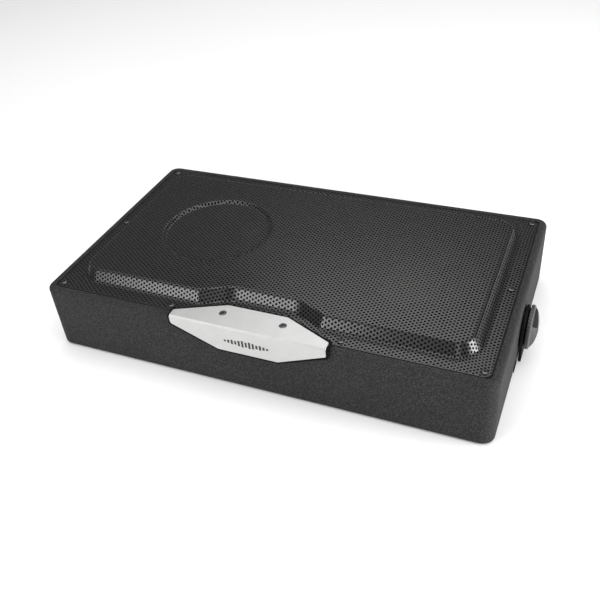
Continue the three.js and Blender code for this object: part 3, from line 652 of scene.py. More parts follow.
def satin_silver():
    """Blasted casting under satin silver lacquer: metal with a very fine grain, soft reflections
    and a slight cloudiness where the lacquer is thicker."""
    material, tree, where = begin("satin_silver_casting")
    blast = node(tree, "TexNoise", {"Vector": where, "Scale": 1 / (0.5 * MM), "Detail": 3})
    cloud = node(tree, "TexNoise", {"Vector": where, "Scale": 1 / (18 * MM), "Detail": 2})
    colour = node(tree, "Mix", {0: cloud.outputs[0], 6: srgb("#bebebd"), 7: srgb("#cacac9")},
                  data_type="RGBA")
    rough = node(tree, "MapRange", {"Value": blast.outputs[0], "From Min": 0.3, "From Max": 0.7,
                                    "To Min": 0.36, "To Max": 0.46})
    bump = node(tree, "Bump", {"Height": blast.outputs[0], "Distance": 0.015 * MM})
    shade(tree, {"Base Color": colour.outputs[2], "Metallic": 0.9,
                 "Roughness": rough.outputs[0], "Normal": bump.outputs[0]})
    return material


def black_rubber():
    """Moulded black rubber: dull, with a fine matt grain and a little dust in it."""
    material, tree, where = begin("moulded_black_rubber")
    grain = node(tree, "TexNoise", {"Vector": where, "Scale": 1 / (0.8 * MM), "Detail": 4})
    dust = node(tree, "TexNoise", {"Vector": where, "Scale": 1 / (9 * MM), "Detail": 5})
    colour = node(tree, "Mix", {0: dust.outputs[0], 6: srgb("#060606"), 7: srgb("#101010")},
                  data_type="RGBA")
    bump = node(tree, "Bump", {"Height": grain.outputs[0], "Distance": 0.05 * MM})
    shade(tree, {"Base Color": colour.outputs[2], "Roughness": 0.88, "IOR": 1.52,
                 "Specular IOR Level": 0.12,
                 "Normal": bump.outputs[0]})
    return material


badge_screw_lo, badge_screw_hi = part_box("badge_screw_right")
badge_screw_x, badge_screw_y = ((a + b) / 2 for a, b in
                                zip(badge_screw_lo[:2], badge_screw_hi[:2]))
sink = 1.4 * MM
sinks = []
for x in (-badge_screw_x, badge_screw_x):
    at = (x, along_fold(y=badge_screw_y), 0)
    sinks.append(turned("sink", [(0, -sink), (4 * MM, -sink), (4.5 * MM, sink), (0, sink)], 40,
                        centre=at))
    sinks.append(turned("bore", [(0, -wall), (1.9 * MM, -wall), (1.9 * MM, 0), (0, 0)], 32,
                        centre=at))
plate = badge_layer("badge", 0, 0, plate_t, 0.45 * MM, sinks)
badge = place("badge", smooth(plate, 28), satin_silver(), "cabinet",
              ("badge_plate",))
badge.modifiers.new("flat_faces", "WEIGHTED_NORMAL").keep_sharp = True
rubber = black_rubber()
# The pad stands up round the plate as a lip, and the plate lies in its pocket. The lip is drawn
# wide so that its black shows as the dark line round the plate: partly the rubber, partly painted
# shadow of the gap under the plate's edge.
lip_and_shadow_w, lip_drop, pad_t = 2.6 * MM, 0.8 * MM, 1 * MM
pocket = badge_layer("pocket", 0.05 * MM, -1 * MM, plate_t + 1.2 * MM, 0.02 * MM, bend=False)
# Partly painted shadow: the wide black lip stands for the dark gap round the plate.
pad = badge_layer("badge_cushion", lip_and_shadow_w, lip_drop, plate_t + 0.3 * MM + pad_t - lip_drop,
                  0.3 * MM, [pocket])
place("badge_cushion", smooth(pad, 28), rubber, "cabinet", ("badge_pad",))
badge_screw = cross_screw("badge_screw", 3.8 * MM, 1 * MM, 11 * MM)
for side, x in (("left", -badge_screw_x), ("right", badge_screw_x)):
    mesh = badge_screw.copy()
    mesh.transform(Matrix.Translation((x, badge_screw_y, badge_screw_hi.z - 1 * MM)))
    place("screw_badge_" + side, mesh, blacked, "cabinet",
          ("badge_screw_" + side,))

# A plain mark printed in black on the badge's face: a row of level bars.
mark_z, mark_pitch, bar_w, ink_t = 69.5 * MM, 4.1 * MM, 2.5 * MM, 0.06 * MM
bar_heights = [2.6, 4.2, 6, 4.8, 7.4, 8.8, 6.6, 8.8, 7.4, 4.8, 6, 4.2, 2.6]
bars = []
for k, height in enumerate(bar_heights):
    x = (k - (len(bar_heights) - 1) / 2) * mark_pitch
    half = height * MM / 2
    bars.append(block("bar", (x - bar_w / 2, plate_lo.y - ink_t, mark_z - half),
                      (x + bar_w / 2, plate_lo.y + ink_t, mark_z + half)))


def joined(name, parts):
    """One mesh made of all of these meshes, which it uses up."""
    bm = bmesh.new()
    for part in parts:
        bm.from_mesh(part)
        bpy.data.meshes.remove(part)
    mesh = bpy.data.meshes.new(name)
    bm.to_mesh(mesh)
    bm.free()
    return mesh


def screen_ink():
    """Black screen-print ink: semi-matt, with tiny pinholes in its cover."""
    material, tree, where = begin("black_screen_ink")
    pin = node(tree, "TexNoise", {"Vector": where, "Scale": 1 / (0.3 * MM), "Detail": 2})
    colour = node(tree, "Mix", {0: pin.outputs[0], 6: srgb("#1a1a1c"), 7: srgb("#333336")},
                  data_type="RGBA")
    shade(tree, {"Base Color": colour.outputs[2], "Roughness": 0.5, "IOR": 1.5})
    return material


place("badge_mark", joined("badge_mark", bars), screen_ink(), "cabinet")

# ---- Drivers ----------------------------------------------------------------------------------
# The woofer on the right and the passive radiator on the left: pressed steel frames let into the
# driver board, pulp cones, rubber surrounds and rubber gaskets, each held by eight screws.

woofer_lo, woofer_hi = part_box("woofer_basket")
radiator_lo, radiator_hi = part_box("radiator_frame")
woofer_x, woofer_y = (woofer_lo.x + woofer_hi.x) / 2, (woofer_lo.y + woofer_hi.y) / 2
radiator_x = (radiator_lo.x + radiator_hi.x) / 2
flange_r = (woofer_hi.x - woofer_lo.x) / 2
flange_z = woofer_hi.z
seat_z = flange_z - 2.4 * MM
cone_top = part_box("woofer_cone")[1].z
neck_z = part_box("woofer_cone")[0].z
rim_r = (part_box("woofer_cone")[1].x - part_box("woofer_cone")[0].x) / 2
coil_r = 26 * MM
spider_z = sum(b.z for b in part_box("spider")) / 2
roll_r, roll_size = 86 * MM, 6 * MM
lip_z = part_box("woofer_surround")[0].z
rubber_t = 0.9 * MM


def black_paint():
    """Black stoving enamel on pressed steel: smooth, half gloss, with faint ripples."""
    return mottled("black_stoving_enamel", "#161617", "#252527", 3 * MM, 2, 0.03 * MM,
                   {"Roughness": 0.38, "IOR": 1.52})


def pressed_pulp():
    """Pressed black paper pulp: matt, fibrous, with short pale fibres in every direction."""
    material, tree, where = begin("pressed_black_pulp")
    fibre = node(tree, "TexNoise", {"Vector": where, "Scale": 1 / (1.4 * MM), "Detail": 6,
                                    "Distortion": 1.5})
    pale = node(tree, "MapRange", {"Value": fibre.outputs[0], "From Min": 0.5, "From Max": 0.75})
    colour = node(tree, "Mix", {0: pale.outputs[0], 6: srgb("#1c1c1d"), 7: srgb("#4a4947")},
                  data_type="RGBA")
    bump = node(tree, "Bump", {"Height": fibre.outputs[0], "Distance": 0.12 * MM})
    shade(tree, {"Base Color": colour.outputs[2], "Roughness": 0.62, "IOR": 1.5,
                 "Normal": bump.outputs[0]})
    return material


def arc_of(r0, z0, radius, first, last, steps):
    """Points (radius, height) of a section along an arc, angles in degrees."""
    return [(r0 + radius * math.cos(math.radians(first + (last - first) * i / steps)),
             z0 + radius * math.sin(math.radians(first + (last - first) * i / steps)))
            for i in range(steps + 1)]


enamel, pulp = black_paint(), pressed_pulp()
frame_profile = [
    (90 * MM, seat_z), (flange_r, seat_z), (flange_r, flange_z - 0.5 * MM),
    (flange_r - 0.5 * MM, flange_z), (88 * MM, flange_z), (86 * MM, flange_z - 3 * MM),
    (66 * MM, spider_z - 2 * MM), (58 * MM, spider_z - 2 * MM), (50 * MM, spider_z - 10.5 * MM),
    (30 * MM, spider_z - 10.5 * MM), (30 * MM, spider_z - 12.7 * MM),
    (52 * MM, spider_z - 12.7 * MM), (60 * MM, spider_z - 4.2 * MM),
    (67.5 * MM, spider_z - 4.2 * MM)]
window = block("window", (66 * MM, -24 * MM, 58 * MM), (92 * MM, 24 * MM, 72 * MM), 5 * MM, 4)
windows = []
for k in range(6):
    opening = window.copy()
    opening.transform(Matrix.Rotation(k * math.pi / 3, 4, "Z"))
    windows.append(opening)
basket = carve(turned("basket", frame_profile, 96), windows)
basket.transform(Matrix.Translation((woofer_x, woofer_y, 0)))
place("woofer_frame", smooth(basket), enamel, "cabinet", ("woofer_basket",))
radiator_ring = turned("radiator_ring", [
    (88 * MM, seat_z - 8 * MM), (90.5 * MM, seat_z - 8 * MM), (92 * MM, seat_z),
    (flange_r, seat_z), (flange_r, flange_z - 0.5 * MM), (flange_r - 0.5 * MM, flange_z),
    (88.5 * MM, flange_z), (88 * MM, flange_z - 0.5 * MM)], 96, centre=(radiator_x, 0, 0))
place("radiator_ring", smooth(radiator_ring), enamel, "cabinet",
      ("radiator_frame",))


def flexing(name, section, centre, material, replaced, sectors=16):
    """A ring in sectors, each placed as a piece of its own on no body. The section is a closed
    list of (radius, height)."""
    steps = 6
    n = len(section)
    for k in range(sectors):
        first = 2 * math.pi * k / sectors
        rows = []
        for i in range(steps + 1):
            a = first + 2 * math.pi * i / (sectors * steps)
            rows.append([(centre[0] + r * math.cos(a), centre[1] + r * math.sin(a), z)
                         for r, z in section])
        mesh = loft(name, rows)
        piece = place(f"{name}_{k + 1:02d}", smooth(mesh, 50), material, None, replaced)
        a = first + math.pi / sectors
        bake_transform(piece)


surround_section = (
    [(95.7 * MM, lip_z), (95.7 * MM, lip_z + rubber_t)]
    + arc_of(roll_r, lip_z + rubber_t, roll_size, 0, 180, 14)
    + [(76 * MM, lip_z + rubber_t), (76 * MM, lip_z + 0.2 * MM)]
    + arc_of(roll_r, lip_z + rubber_t, roll_size - rubber_t, 180, 0, 14)
    + [(roll_r + roll_size - rubber_t, lip_z)])
flexing("woofer_surround_roll", surround_section,
        (woofer_x, woofer_y), rubber, ("woofer_surround",))
flexing("radiator_surround_roll", surround_section,
        (radiator_x, 0), rubber, ("radiator_surround",))


def spider_cloth():
    """Cotton stiffened with resin: a plain weave of threads about 0.6 mm apart, tan, matt, darker
    in the hollows of the weave as painted shade.
    """
    material, tree, where = begin("resin_stiffened_cotton")
    warp = node(tree, "TexWave", {"Vector": where, "Scale": 1 / (20 * 0.6 * MM) * 2 * math.pi,
                                  "Distortion": 0.4})
    weft = node(tree, "TexWave", {"Vector": where, "Scale": 1 / (20 * 0.6 * MM) * 2 * math.pi,
                                  "Distortion": 0.4}, bands_direction="Y")
    weave = node(tree, "Math", {0: warp.outputs[1], 1: weft.outputs[1]}, operation="MULTIPLY")
    # Painted shade: the tan darkens where the weave dips and pales on the threads' crowns.
    colour = node(tree, "Mix", {0: weave.outputs[0], 6: srgb("#8a6835"), 7: srgb("#bf9a5c")},
                  data_type="RGBA")
    bump = node(tree, "Bump", {"Height": weave.outputs[0], "Distance": 0.15 * MM})
    shade(tree, {"Base Color": colour.outputs[2], "Roughness": 0.88, "IOR": 1.5,
                 "Normal": bump.outputs[0]})
    return material


inner_r, outer_r, waves = coil_r + 0.3 * MM, 60 * MM, 5
ripple = [(inner_r + (outer_r - inner_r) * i / 40,
           1.2 * MM * math.sin(math.pi * 2 * waves * i / 40)) for i in range(41)]
ripple.append((64.5 * MM, 0))
spider_section = ([(r, spider_z + h - 0.35 * MM) for r, h in ripple]
                  + [(r, spider_z + h + 0.35 * MM) for r, h in reversed(ripple)])
flexing("spider_cloth", spider_section, (woofer_x, woofer_y),
        spider_cloth(), ("spider",))

# Cone, dust cap and radiator plate. The cone's wall curves a little, as pulp cones do.
wall_t = 1.2 * MM
cone_line = [(coil_r - 0.9 * MM + (rim_r - coil_r + 0.9 * MM) * i / 16,
              neck_z + 2 * MM + (cone_top - neck_z - 2 * MM) * (i / 16) ** 1.12)
             for i in range(17)]
cone = turned("cone", cone_line + [(r, z - wall_t - 0.3 * MM * (1 - i / 16)) for i, (r, z) in
                                   reversed(list(enumerate(cone_line)))], 128,
              centre=(woofer_x, woofer_y, 0))
place("pulp_cone", smooth(cone), pulp, "woofer_cone", ("woofer_cone",))
cap_lo, cap_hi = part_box("dust_cap")
cap_r, cap_t = (cap_hi.x - cap_lo.x) / 2, 0.9 * MM
cap_rise = cap_hi.z - cap_lo.z - cap_t
ball_r = (cap_r ** 2 + cap_rise ** 2) / (2 * cap_rise)
cap_half = math.degrees(math.asin(cap_r / ball_r))
under = arc_of(0, cap_hi.z - cap_t - ball_r, ball_r, 90, 90 - cap_half, 18)
under[0] = (0, under[0][1])
over = [(r, z + cap_t) for r, z in reversed(under)]
cap = turned("cap", under + over, 96, centre=(woofer_x, woofer_y, 0))


def cap_lacquer_painted_highlight():
    """Lacquered pulp: the fibres show through the coat. Its satin grey is drawn paler than the real
    dark grey cap, a painted highlight for the soft sheen that shows through the grille.
    """
    # Painted highlight: the whole cap is coloured paler than it really is.
    return mottled("lacquered_pulp_painted_highlight", "#5a5a5a", "#7c7c7c", 1.6 * MM, 5, 0.06 * MM,
                   {"Roughness": 0.4, "IOR": 1.5})


place("dome_cap", smooth(cap), cap_lacquer_painted_highlight(), "woofer_cone", ("dust_cap",))


def bronze_print():
    """Bronze metallic ink: fine flakes in a clear binder."""
    material, tree, where = begin("bronze_flake_ink")
    flake = node(tree, "TexVoronoi", {"Vector": where, "Scale": 1 / (0.4 * MM)})
    colour = node(tree, "Mix", {0: flake.outputs["Distance"], 6: srgb("#caa255"),
                                7: srgb("#8c6c36")}, data_type="RGBA")
    shade(tree, {"Base Color": colour.outputs[2], "Metallic": 0.8, "Roughness": 0.42})
    return material


bronze = bronze_print()
for name, r0, r1 in (("cap_ring_outer", 12.6 * MM, 14 * MM), ("cap_ring_inner", 7 * MM, 9.4 * MM)):
    dome = [(r0 + (r1 - r0) * i / 3,
             cap_hi.z - ball_r + math.sqrt(ball_r ** 2 - (r0 + (r1 - r0) * i / 3) ** 2))
            for i in range(4)]
    print_ring = turned(name, [(r, z - 0.05 * MM) for r, z in dome]
                        + [(r, z + 0.06 * MM) for r, z in reversed(dome)], 96,
                        centre=(woofer_x, woofer_y, 0))
    place(name, smooth(print_ring), bronze, "woofer_cone")

plate_profile = [(0, cone_top - 9 * MM), (22 * MM, cone_top - 9 * MM),
                 (rim_r, cone_top - 3 * MM), (rim_r, cone_top - 0.4 * MM),
                 (rim_r - 0.4 * MM, cone_top), (74 * MM, cone_top - 0.5 * MM)]
plate_profile += [(74 * MM - 48 * MM * i / 8, cone_top - 0.5 * MM - 4.5 * MM * (i / 8) ** 0.8)
                  for i in range(1, 9)]
plate_profile += [(24 * MM, cone_top - 4.6 * MM), (0, cone_top - 4.6 * MM)]
radiator_disc = turned("radiator_disc", plate_profile, 128, centre=(radiator_x, 0, 0))
place("radiator_disc", smooth(radiator_disc), pulp, "radiator_plate",
      ("radiator_plate",))

# Gaskets clamp the surrounds' lips, and eight screws hold each frame down.
driver_screw = cross_screw("driver_screw", 2.7 * MM, 1.5 * MM, 8 * MM)
screw_circle_r = 101 * MM
gasket_section = [(92.6 * MM, lip_z + 1 * MM), (96 * MM, lip_z + 1 * MM),
                  (96 * MM, flange_z + 0.1 * MM), (98 * MM, flange_z + 0.1 * MM),
                  (98 * MM, lip_z + 1.7 * MM), (97.4 * MM, lip_z + 2.3 * MM),
                  (93.2 * MM, lip_z + 2.3 * MM), (92.6 * MM, lip_z + 1.7 * MM)]
for driver, x in (("woofer", woofer_x), ("radiator", radiator_x)):
    place(driver + "_gasket", smooth(turned(driver + "_gasket", gasket_section, 96,
                                            centre=(x, woofer_y, 0))),
          rubber, "cabinet")
    for k in range(8):
        a = math.radians(22.5 + 45 * k)
        mesh = driver_screw.copy()
        mesh.transform(Matrix.Translation((x + screw_circle_r * math.cos(a),
                                           woofer_y + screw_circle_r * math.sin(a),
                                           flange_z + 0.1 * MM)) @ Matrix.Rotation(a, 4, "Z"))
        place(f"screw_{driver}_{k + 1}", mesh, blacked, "cabinet")

# ---- Motor ------------------------------------------------------------------------------------
# Below the cone: a ferrite ring between a zinc-plated top plate and yoke, and the voice coil of
# lacquered copper wire on its former.


def ferrite():
    """Sintered ferrite: dark grey ceramic, ground flat, with the mottle of its grit."""
    return mottled("sintered_ferrite", "#2b2c2f", "#4b4c50", 0.7 * MM, 5, 0.05 * MM,
                   {"Roughness": 0.6, "IOR": 1.9})


def zinc_plate():
    """Bright zinc plating on turned steel: a cloudy spangle that varies its gloss too."""
    material, tree, where = begin("zinc_plated_steel")
    cloud = node(tree, "TexNoise", {"Vector": where, "Scale": 1 / (8 * MM), "Detail": 4})
    colour = node(tree, "Mix", {0: cloud.outputs[0], 6: srgb("#9a9da3"), 7: srgb("#c4c6ca")},
                  data_type="RGBA")
    rough = node(tree, "MapRange", {"Value": cloud.outputs[0], "To Min": 0.25, "To Max": 0.5})
    shade(tree, {"Base Color": colour.outputs[2], "Metallic": 1, "Roughness": rough.outputs[0]})
    return material


def wound_copper():
    """Lacquered copper wire laid turn by turn, 0.5 mm apart up the coil, darker in the grooves
    between turns as painted shade and paler on their crowns as painted highlight.
    """
    material, tree, where = begin("lacquered_copper_winding")
    turns = node(tree, "TexWave", {"Vector": where, "Scale": 2 * math.pi / (20 * 0.5 * MM)},
                 bands_direction="Z")
    # Painted shade and highlight: dark brown in the grooves between turns, pale copper on the
    # crowns.
    colour = node(tree, "Mix", {0: turns.outputs[1], 6: srgb("#6f3517"), 7: srgb("#c47a48")},
                  data_type="RGBA")
    bump = node(tree, "Bump", {"Height": turns.outputs[1], "Distance": 0.2 * MM})
    shade(tree, {"Base Color": colour.outputs[2], "Metallic": 1, "Roughness": 0.35,
                 "Normal": bump.outputs[0]})
    return material


zinc, copper = zinc_plate(), wound_copper()
soft = 0.8 * MM
for name, part, r0, material, slot in (
        ("magnet_ring", "woofer_magnet", 34 * MM, ferrite(), "ferrite"),
        ("front_plate", "woofer_top_plate", 27.7 * MM, zinc, "plated_steel"),
        ("inertia_weight", "radiator_weight", 3 * MM, zinc, "plated_steel")):
    lo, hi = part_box(part)
    r1, x = (hi.x - lo.x) / 2, (hi.x + lo.x) / 2
    ring = turned(name, [(r0, lo.z), (r1 - soft, lo.z), (r1, lo.z + soft), (r1, hi.z - soft),
                         (r1 - soft, hi.z), (r0, hi.z)], 96, centre=(x, 0, 0))
    body = "radiator_plate" if part == "radiator_weight" else "cabinet"
    place(name, smooth(ring), material, body, (part,))
lo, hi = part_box("woofer_yoke")
magnet_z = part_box("woofer_magnet")[0].z - 0.3 * MM
yoke = turned("back_yoke", [
    (7 * MM, lo.z), (57 * MM, lo.z), (60 * MM, lo.z + 2 * MM), (60 * MM, magnet_z),
    (24.6 * MM, magnet_z), (24.6 * MM, hi.z - 1 * MM), (23.6 * MM, hi.z), (7 * MM, hi.z)], 96,
    centre=(woofer_x, 0, 0))
place("back_yoke", smooth(yoke), zinc, "cabinet", ("woofer_yoke",))
paint(["voice_coil"], copper)

# ---- Amplifier --------------------------------------------------------------------------------
# Behind the panel stands an extruded aluminium chassis with fins, and a glass-epoxy board on it
# with the power supply's choke, its capacitor and a row of small parts. The lead to the woofer is
# rubber-covered.


def extruded_aluminium():
    """Bare extruded aluminium: die lines 1.5 mm apart along X, slightly dull."""
    material, tree, where = begin("extruded_aluminium")
    stretch = node(tree, "Mapping", {"Vector": where, "Scale": (0.02, 1, 1)})
    lines = node(tree, "TexNoise", {"Vector": stretch.outputs[0], "Scale": 1 / (1.5 * MM),
                                    "Detail": 4})
    colour = node(tree, "Mix", {0: lines.outputs[0], 6: srgb("#8b8e92"), 7: srgb("#b4b6b9")},
                  data_type="RGBA")
    bump = node(tree, "Bump", {"Height": lines.outputs[0], "Distance": 0.04 * MM})
    shade(tree, {"Base Color": colour.outputs[2], "Metallic": 1, "Roughness": 0.42,
                 "Normal": bump.outputs[0]})
    return material


def circuit_board():
    """Glass-epoxy board under green mask: copper tracks 2.5 mm apart show as paler bands."""
    material, tree, where = begin("masked_circuit_board")
    tracks = node(tree, "TexBrick", {
        "Vector": where, "Color1": srgb("#1f5a36"), "Color2": srgb("#2f7449"),
        "Mortar": srgb("#154026"), "Scale": 1 / (25 * MM), "Mortar Size": 0.03,
        "Brick Width": 0.7, "Row Height": 0.1})
    bump = node(tree, "Bump", {"Height": tracks.outputs[1], "Distance": 0.05 * MM})
    shade(tree, {"Base Color": tracks.outputs[0], "Roughness": 0.35, "IOR": 1.5,
                 "Normal": bump.outputs[0]})
    return material


def moulded_abs():
    """Moulded black ABS: a fine spark-eroded texture and a half-dull sheen."""
    material, tree, where = begin("moulded_black_abs")
    spark = node(tree, "TexNoise", {"Vector": where, "Scale": 1 / (0.6 * MM), "Detail": 3})
    flow = node(tree, "TexNoise", {"Vector": where, "Scale": 1 / (15 * MM), "Detail": 1})
    colour = node(tree, "Mix", {0: flow.outputs[0], 6: srgb("#262628"), 7: srgb("#323234")},
                  data_type="RGBA")
    rough = node(tree, "MapRange", {"Value": spark.outputs[0], "From Min": 0.3, "From Max": 0.7,
                                    "To Min": 0.32, "To Max": 0.44})
    bump = node(tree, "Bump", {"Height": spark.outputs[0], "Distance": 0.03 * MM})
    shade(tree, {"Base Color": colour.outputs[2], "Roughness": rough.outputs[0], "IOR": 1.54,
                 "Normal": bump.outputs[0]})
    return material


plastic = moulded_abs()
paint(["amp_chassis"], extruded_aluminium())
paint(["amp_board"], circuit_board())
paint(["woofer_lead"], rubber)
lo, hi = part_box("supply_choke")
choke_x, choke_y, choke_z = ((a + b) / 2 for a, b in zip(lo, hi))
choke_r, choke_half = (hi.x - lo.x) / 2, (hi.z - lo.z) / 2
wires, around, across = 26, 260, 12
verts, faces = [], []
for i in range(around):
    a = 2 * math.pi * i / around
    swell = 1 - 0.16 * (0.5 - 0.5 * math.cos(wires * a)) ** 3
    for j in range(across):
        b = 2 * math.pi * j / across
        square = 1 / max(abs(math.cos(b)), abs(math.sin(b))) ** 0.6
        r = (choke_r + 6 * MM) / 2 + (choke_r - 6 * MM) / 2 * math.cos(b) * square * swell * 0.92
        z = choke_z + choke_half * math.sin(b) * square * swell * 0.92
        verts.append((choke_x + r * math.cos(a), choke_y + r * math.sin(a), z))
        k, m = (i + 1) % around, (j + 1) % across
        faces.append((i * across + j, k * across + j, k * across + m, i * across + m))
winding = bpy.data.meshes.new("choke_winding")
winding.from_pydata(verts, [], faces)
outward(winding)
place("choke_winding", smooth(winding, 60), copper, "cabinet", ("supply_choke",))
lo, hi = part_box("supply_capacitor")
can_r = (hi.x - lo.x) / 2
can = turned("capacitor_can", [
    (0, lo.z), (can_r - 0.6 * MM, lo.z), (can_r, lo.z + 0.8 * MM), (can_r, lo.z + 2.4 * MM),
    (can_r - 0.8 * MM, lo.z + 3.2 * MM), (can_r, lo.z + 4 * MM), (can_r, hi.z - 0.8 * MM),
    (can_r - 0.8 * MM, hi.z), (can_r - 2 * MM, hi.z - 0.3 * MM), (0, hi.z - 0.3 * MM)], 64,
    centre=((lo.x + hi.x) / 2, (lo.y + hi.y) / 2, 0))
place("capacitor_can", smooth(can), plastic, "cabinet", ("supply_capacitor",))
board_lo, board_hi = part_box("amp_board")
small_parts = []
for k in range(9):
    x = board_lo.x + (14 + 15 * k) * MM
    small_parts.append(block("chip", (x, board_hi.y - 16 * MM, board_hi.z),
                             (x + 9 * MM, board_hi.y - 12 * MM, board_hi.z + 12 * MM),
                             0.5 * MM))
    small_parts.append(block("coil", (x + 1 * MM, board_hi.y - 30 * MM, board_hi.z),
                             (x + 7 * MM, board_hi.y - 23 * MM, board_hi.z + (3 + k % 3) * MM),
                             0.4 * MM))
place("board_parts", smooth(joined("board_parts", small_parts)), plastic, "cabinet")

# ---- Amplifier panel --------------------------------------------------------------------------
# A 2 mm black anodised plate screwed over the opening in the back, with three fluted knobs, a
# slide switch, two line inputs, the power block, the speaker-level input, a fuse and a light.


def black_anodised():
    """Brushed and black-anodised aluminium: hairlines about 0.3 mm apart, drawn wider here so
    that they show, under a deep grey film."""
    material, tree, where = begin("black_anodised_aluminium")
    stretch = node(tree, "Mapping", {"Vector": where, "Scale": (0.015, 1, 1)})
    hair = node(tree, "TexNoise", {"Vector": stretch.outputs[0], "Scale": 1 / (0.7 * MM),
                                   "Detail": 5})
    colour = node(tree, "Mix", {0: hair.outputs[0], 6: srgb("#2b2c2e"), 7: srgb("#47484b")},
                  data_type="RGBA")
    bump = node(tree, "Bump", {"Height": hair.outputs[0], "Distance": 0.02 * MM})
    shade(tree, {"Base Color": colour.outputs[2], "Metallic": 0.85, "Roughness": 0.38,
                 "Normal": bump.outputs[0]})
    return material


def plain_finish(name, low, high, size, roughness, metallic=0):
    """The finish of a small fitting on the panel, with hardly any relief."""
    return mottled(name, low, high, size, 3, 0.02 * MM,
                   {"Metallic": metallic, "IOR": 1.5, "Roughness": roughness})


paint(["amp_panel"], black_anodised())
panel_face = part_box("amp_panel")[1].y
# The print is white screen ink, even and half matt. The brass of the sockets is plated: smooth
# bright metal, warm in gold and pale in nickel.
white_print = plain_finish("white_screen_ink", "#c9c9c9", "#e2e2e2", 0.5 * MM, 0.55)
gold = plain_finish("gold_plated_brass", "#c9993a", "#e0b95c", 2 * MM, 0.22, 1)
nickel = plain_finish("nickel_plated_brass", "#a8a6a0", "#c8c6c0", 2 * MM, 0.28, 1)
prints = []


def add_print(x0, x1, z0, z1, turn=0, centre=(0, 0)):
    """A printed bar on the panel, turned about the centre by an angle."""
    bar = block("bar", (x0, panel_face - ink_t, z0), (x1, panel_face + ink_t, z1))
    spot = Matrix.Translation((centre[0], 0, centre[1]))
    bar.transform(spot @ Matrix.Rotation(turn, 4, "Y"))
    prints.append(bar)


# The knobs turn 140 degrees each way, and eleven ticks ring each one.
knob_flutes = 24
for control in ("level", "crossover", "boost"):
    lo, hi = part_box(control + "_knob")
    x, z = (lo.x + hi.x) / 2, (lo.z + hi.z) / 2
    r, back, front = (hi.x - lo.x) / 2, panel_face + 0.3 * MM, hi.y
    rows = []
    for radius, y, depth in ((3 * MM, lo.y, 0), (3 * MM, back, 0), (r, back, 0.03),
                             (r, back + 1 * MM, 0.03), (r - 0.2 * MM, back + 1.4 * MM, 0.09),
                             (r - 0.5 * MM, front - 0.8 * MM, 0.09),
                             (r - 1.1 * MM, front, 0.02), (r - 2 * MM, front, 0),
                             (r - 2.3 * MM, front - 0.4 * MM, 0)):
        loop = []
        for i in range(knob_flutes * 6):
            a = 2 * math.pi * i / (knob_flutes * 6)
            here = radius * (1 - depth * (0.5 + 0.5 * math.cos(knob_flutes * a)))
            loop.append((x + here * math.cos(a), y, z + here * math.sin(a)))
        rows.append(loop)
    body = control + "_knob"
    place(control + "_dial", smooth(loft("dial", rows), 40), plastic, body,
          (body,))
    pointer = block("pointer", (x - 0.45 * MM, front - 0.5 * MM, z + 0.8 * MM),
                    (x + 0.45 * MM, front - 0.1 * MM, z + r - 2.4 * MM), 0.1 * MM)
    place(control + "_pointer", pointer, white_print, body)
    for k in range(11):
        long = 2.4 * MM if k in (0, 5, 10) else 1.5 * MM
        add_print(-0.2 * MM, 0.2 * MM, r + 1.3 * MM, r + 1.3 * MM + long,
                  math.radians(-140 + 28 * k), (x, z))

for side, low, high in (("left", "#cfcfcc", "#e4e4e1"), ("right", "#9c1f1c", "#b52a26")):
    lo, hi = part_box("rca_socket_" + side)
    x, z, r = (lo.x + hi.x) / 2, (lo.z + hi.z) / 2, (hi.x - lo.x) / 2
    barrel = turned("barrel", [
        (2 * MM, lo.y), (r, lo.y), (r, hi.y - 0.4 * MM), (r - 0.3 * MM, hi.y),
        (r - 0.7 * MM, hi.y), (r - 0.9 * MM, hi.y - 0.4 * MM), (r - 0.9 * MM, panel_face),
        (2 * MM, panel_face)], 48, "Y", (x, 0, z))
    place("line_input_" + side, smooth(barrel), gold, "cabinet",
          ("rca_socket_" + side,))
    insert = turned("insert", [
        (2.1 * MM, panel_face + 0.1 * MM), (r - 1 * MM, panel_face + 0.1 * MM),
        (r - 1 * MM, panel_face + 3 * MM), (2.4 * MM, panel_face + 3.2 * MM),
        (2.1 * MM, panel_face + 3 * MM)], 48, "Y", (x, 0, z))
    # Nylon coloured right through, with a soft gloss from the mould.
    tint = plain_finish("moulded_nylon_" + side, low, high, 4 * MM, 0.4)
    place("line_insert_" + side, smooth(insert), tint, "cabinet")
    collar = turned("collar", [
        (r + 0.1 * MM, panel_face), (r + 2 * MM, panel_face), (r + 2 * MM, panel_face + 0.8 * MM),
        (r + 1.4 * MM, panel_face + 1.4 * MM), (r + 0.1 * MM, panel_face + 1.4 * MM)], 48, "Y",
        (x, 0, z))
    place("line_collar_" + side, smooth(collar), tint, "cabinet")

lo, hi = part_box("power_terminal")
mouths, cages, heads = [], [], []
terminal_screw = cross_screw("terminal_screw", 2.4 * MM, 0.9 * MM, 3.2 * MM)
for k in range(3):
    x = lo.x + (8 + 16 * k) * MM
    mouths.append(block("mouth", (x - 5 * MM, panel_face + 2 * MM, lo.z + 3 * MM),
                        (x + 5 * MM, hi.y + 9 * MM, hi.z - 3 * MM), 0.8 * MM))
    cages.append(block("cage", (x - 4.8 * MM, panel_face + 2.1 * MM, lo.z + 3.2 * MM),
                       (x + 4.8 * MM, hi.y - 1.2 * MM, lo.z + 4.2 * MM), 0.2 * MM))
    head = terminal_screw.copy()
    head.transform(Matrix.Translation((x, hi.y - 4.5 * MM, hi.z)))
    heads.append(head)
terminal = carve(block("terminal", lo, hi, 0.7 * MM), mouths)
place("power_block", smooth(terminal), plastic, "cabinet", ("power_terminal",))
for name, pieces in (("power_cages", cages), ("power_screws", heads)):
    place(name, smooth(joined(name, pieces)), nickel, "cabinet")

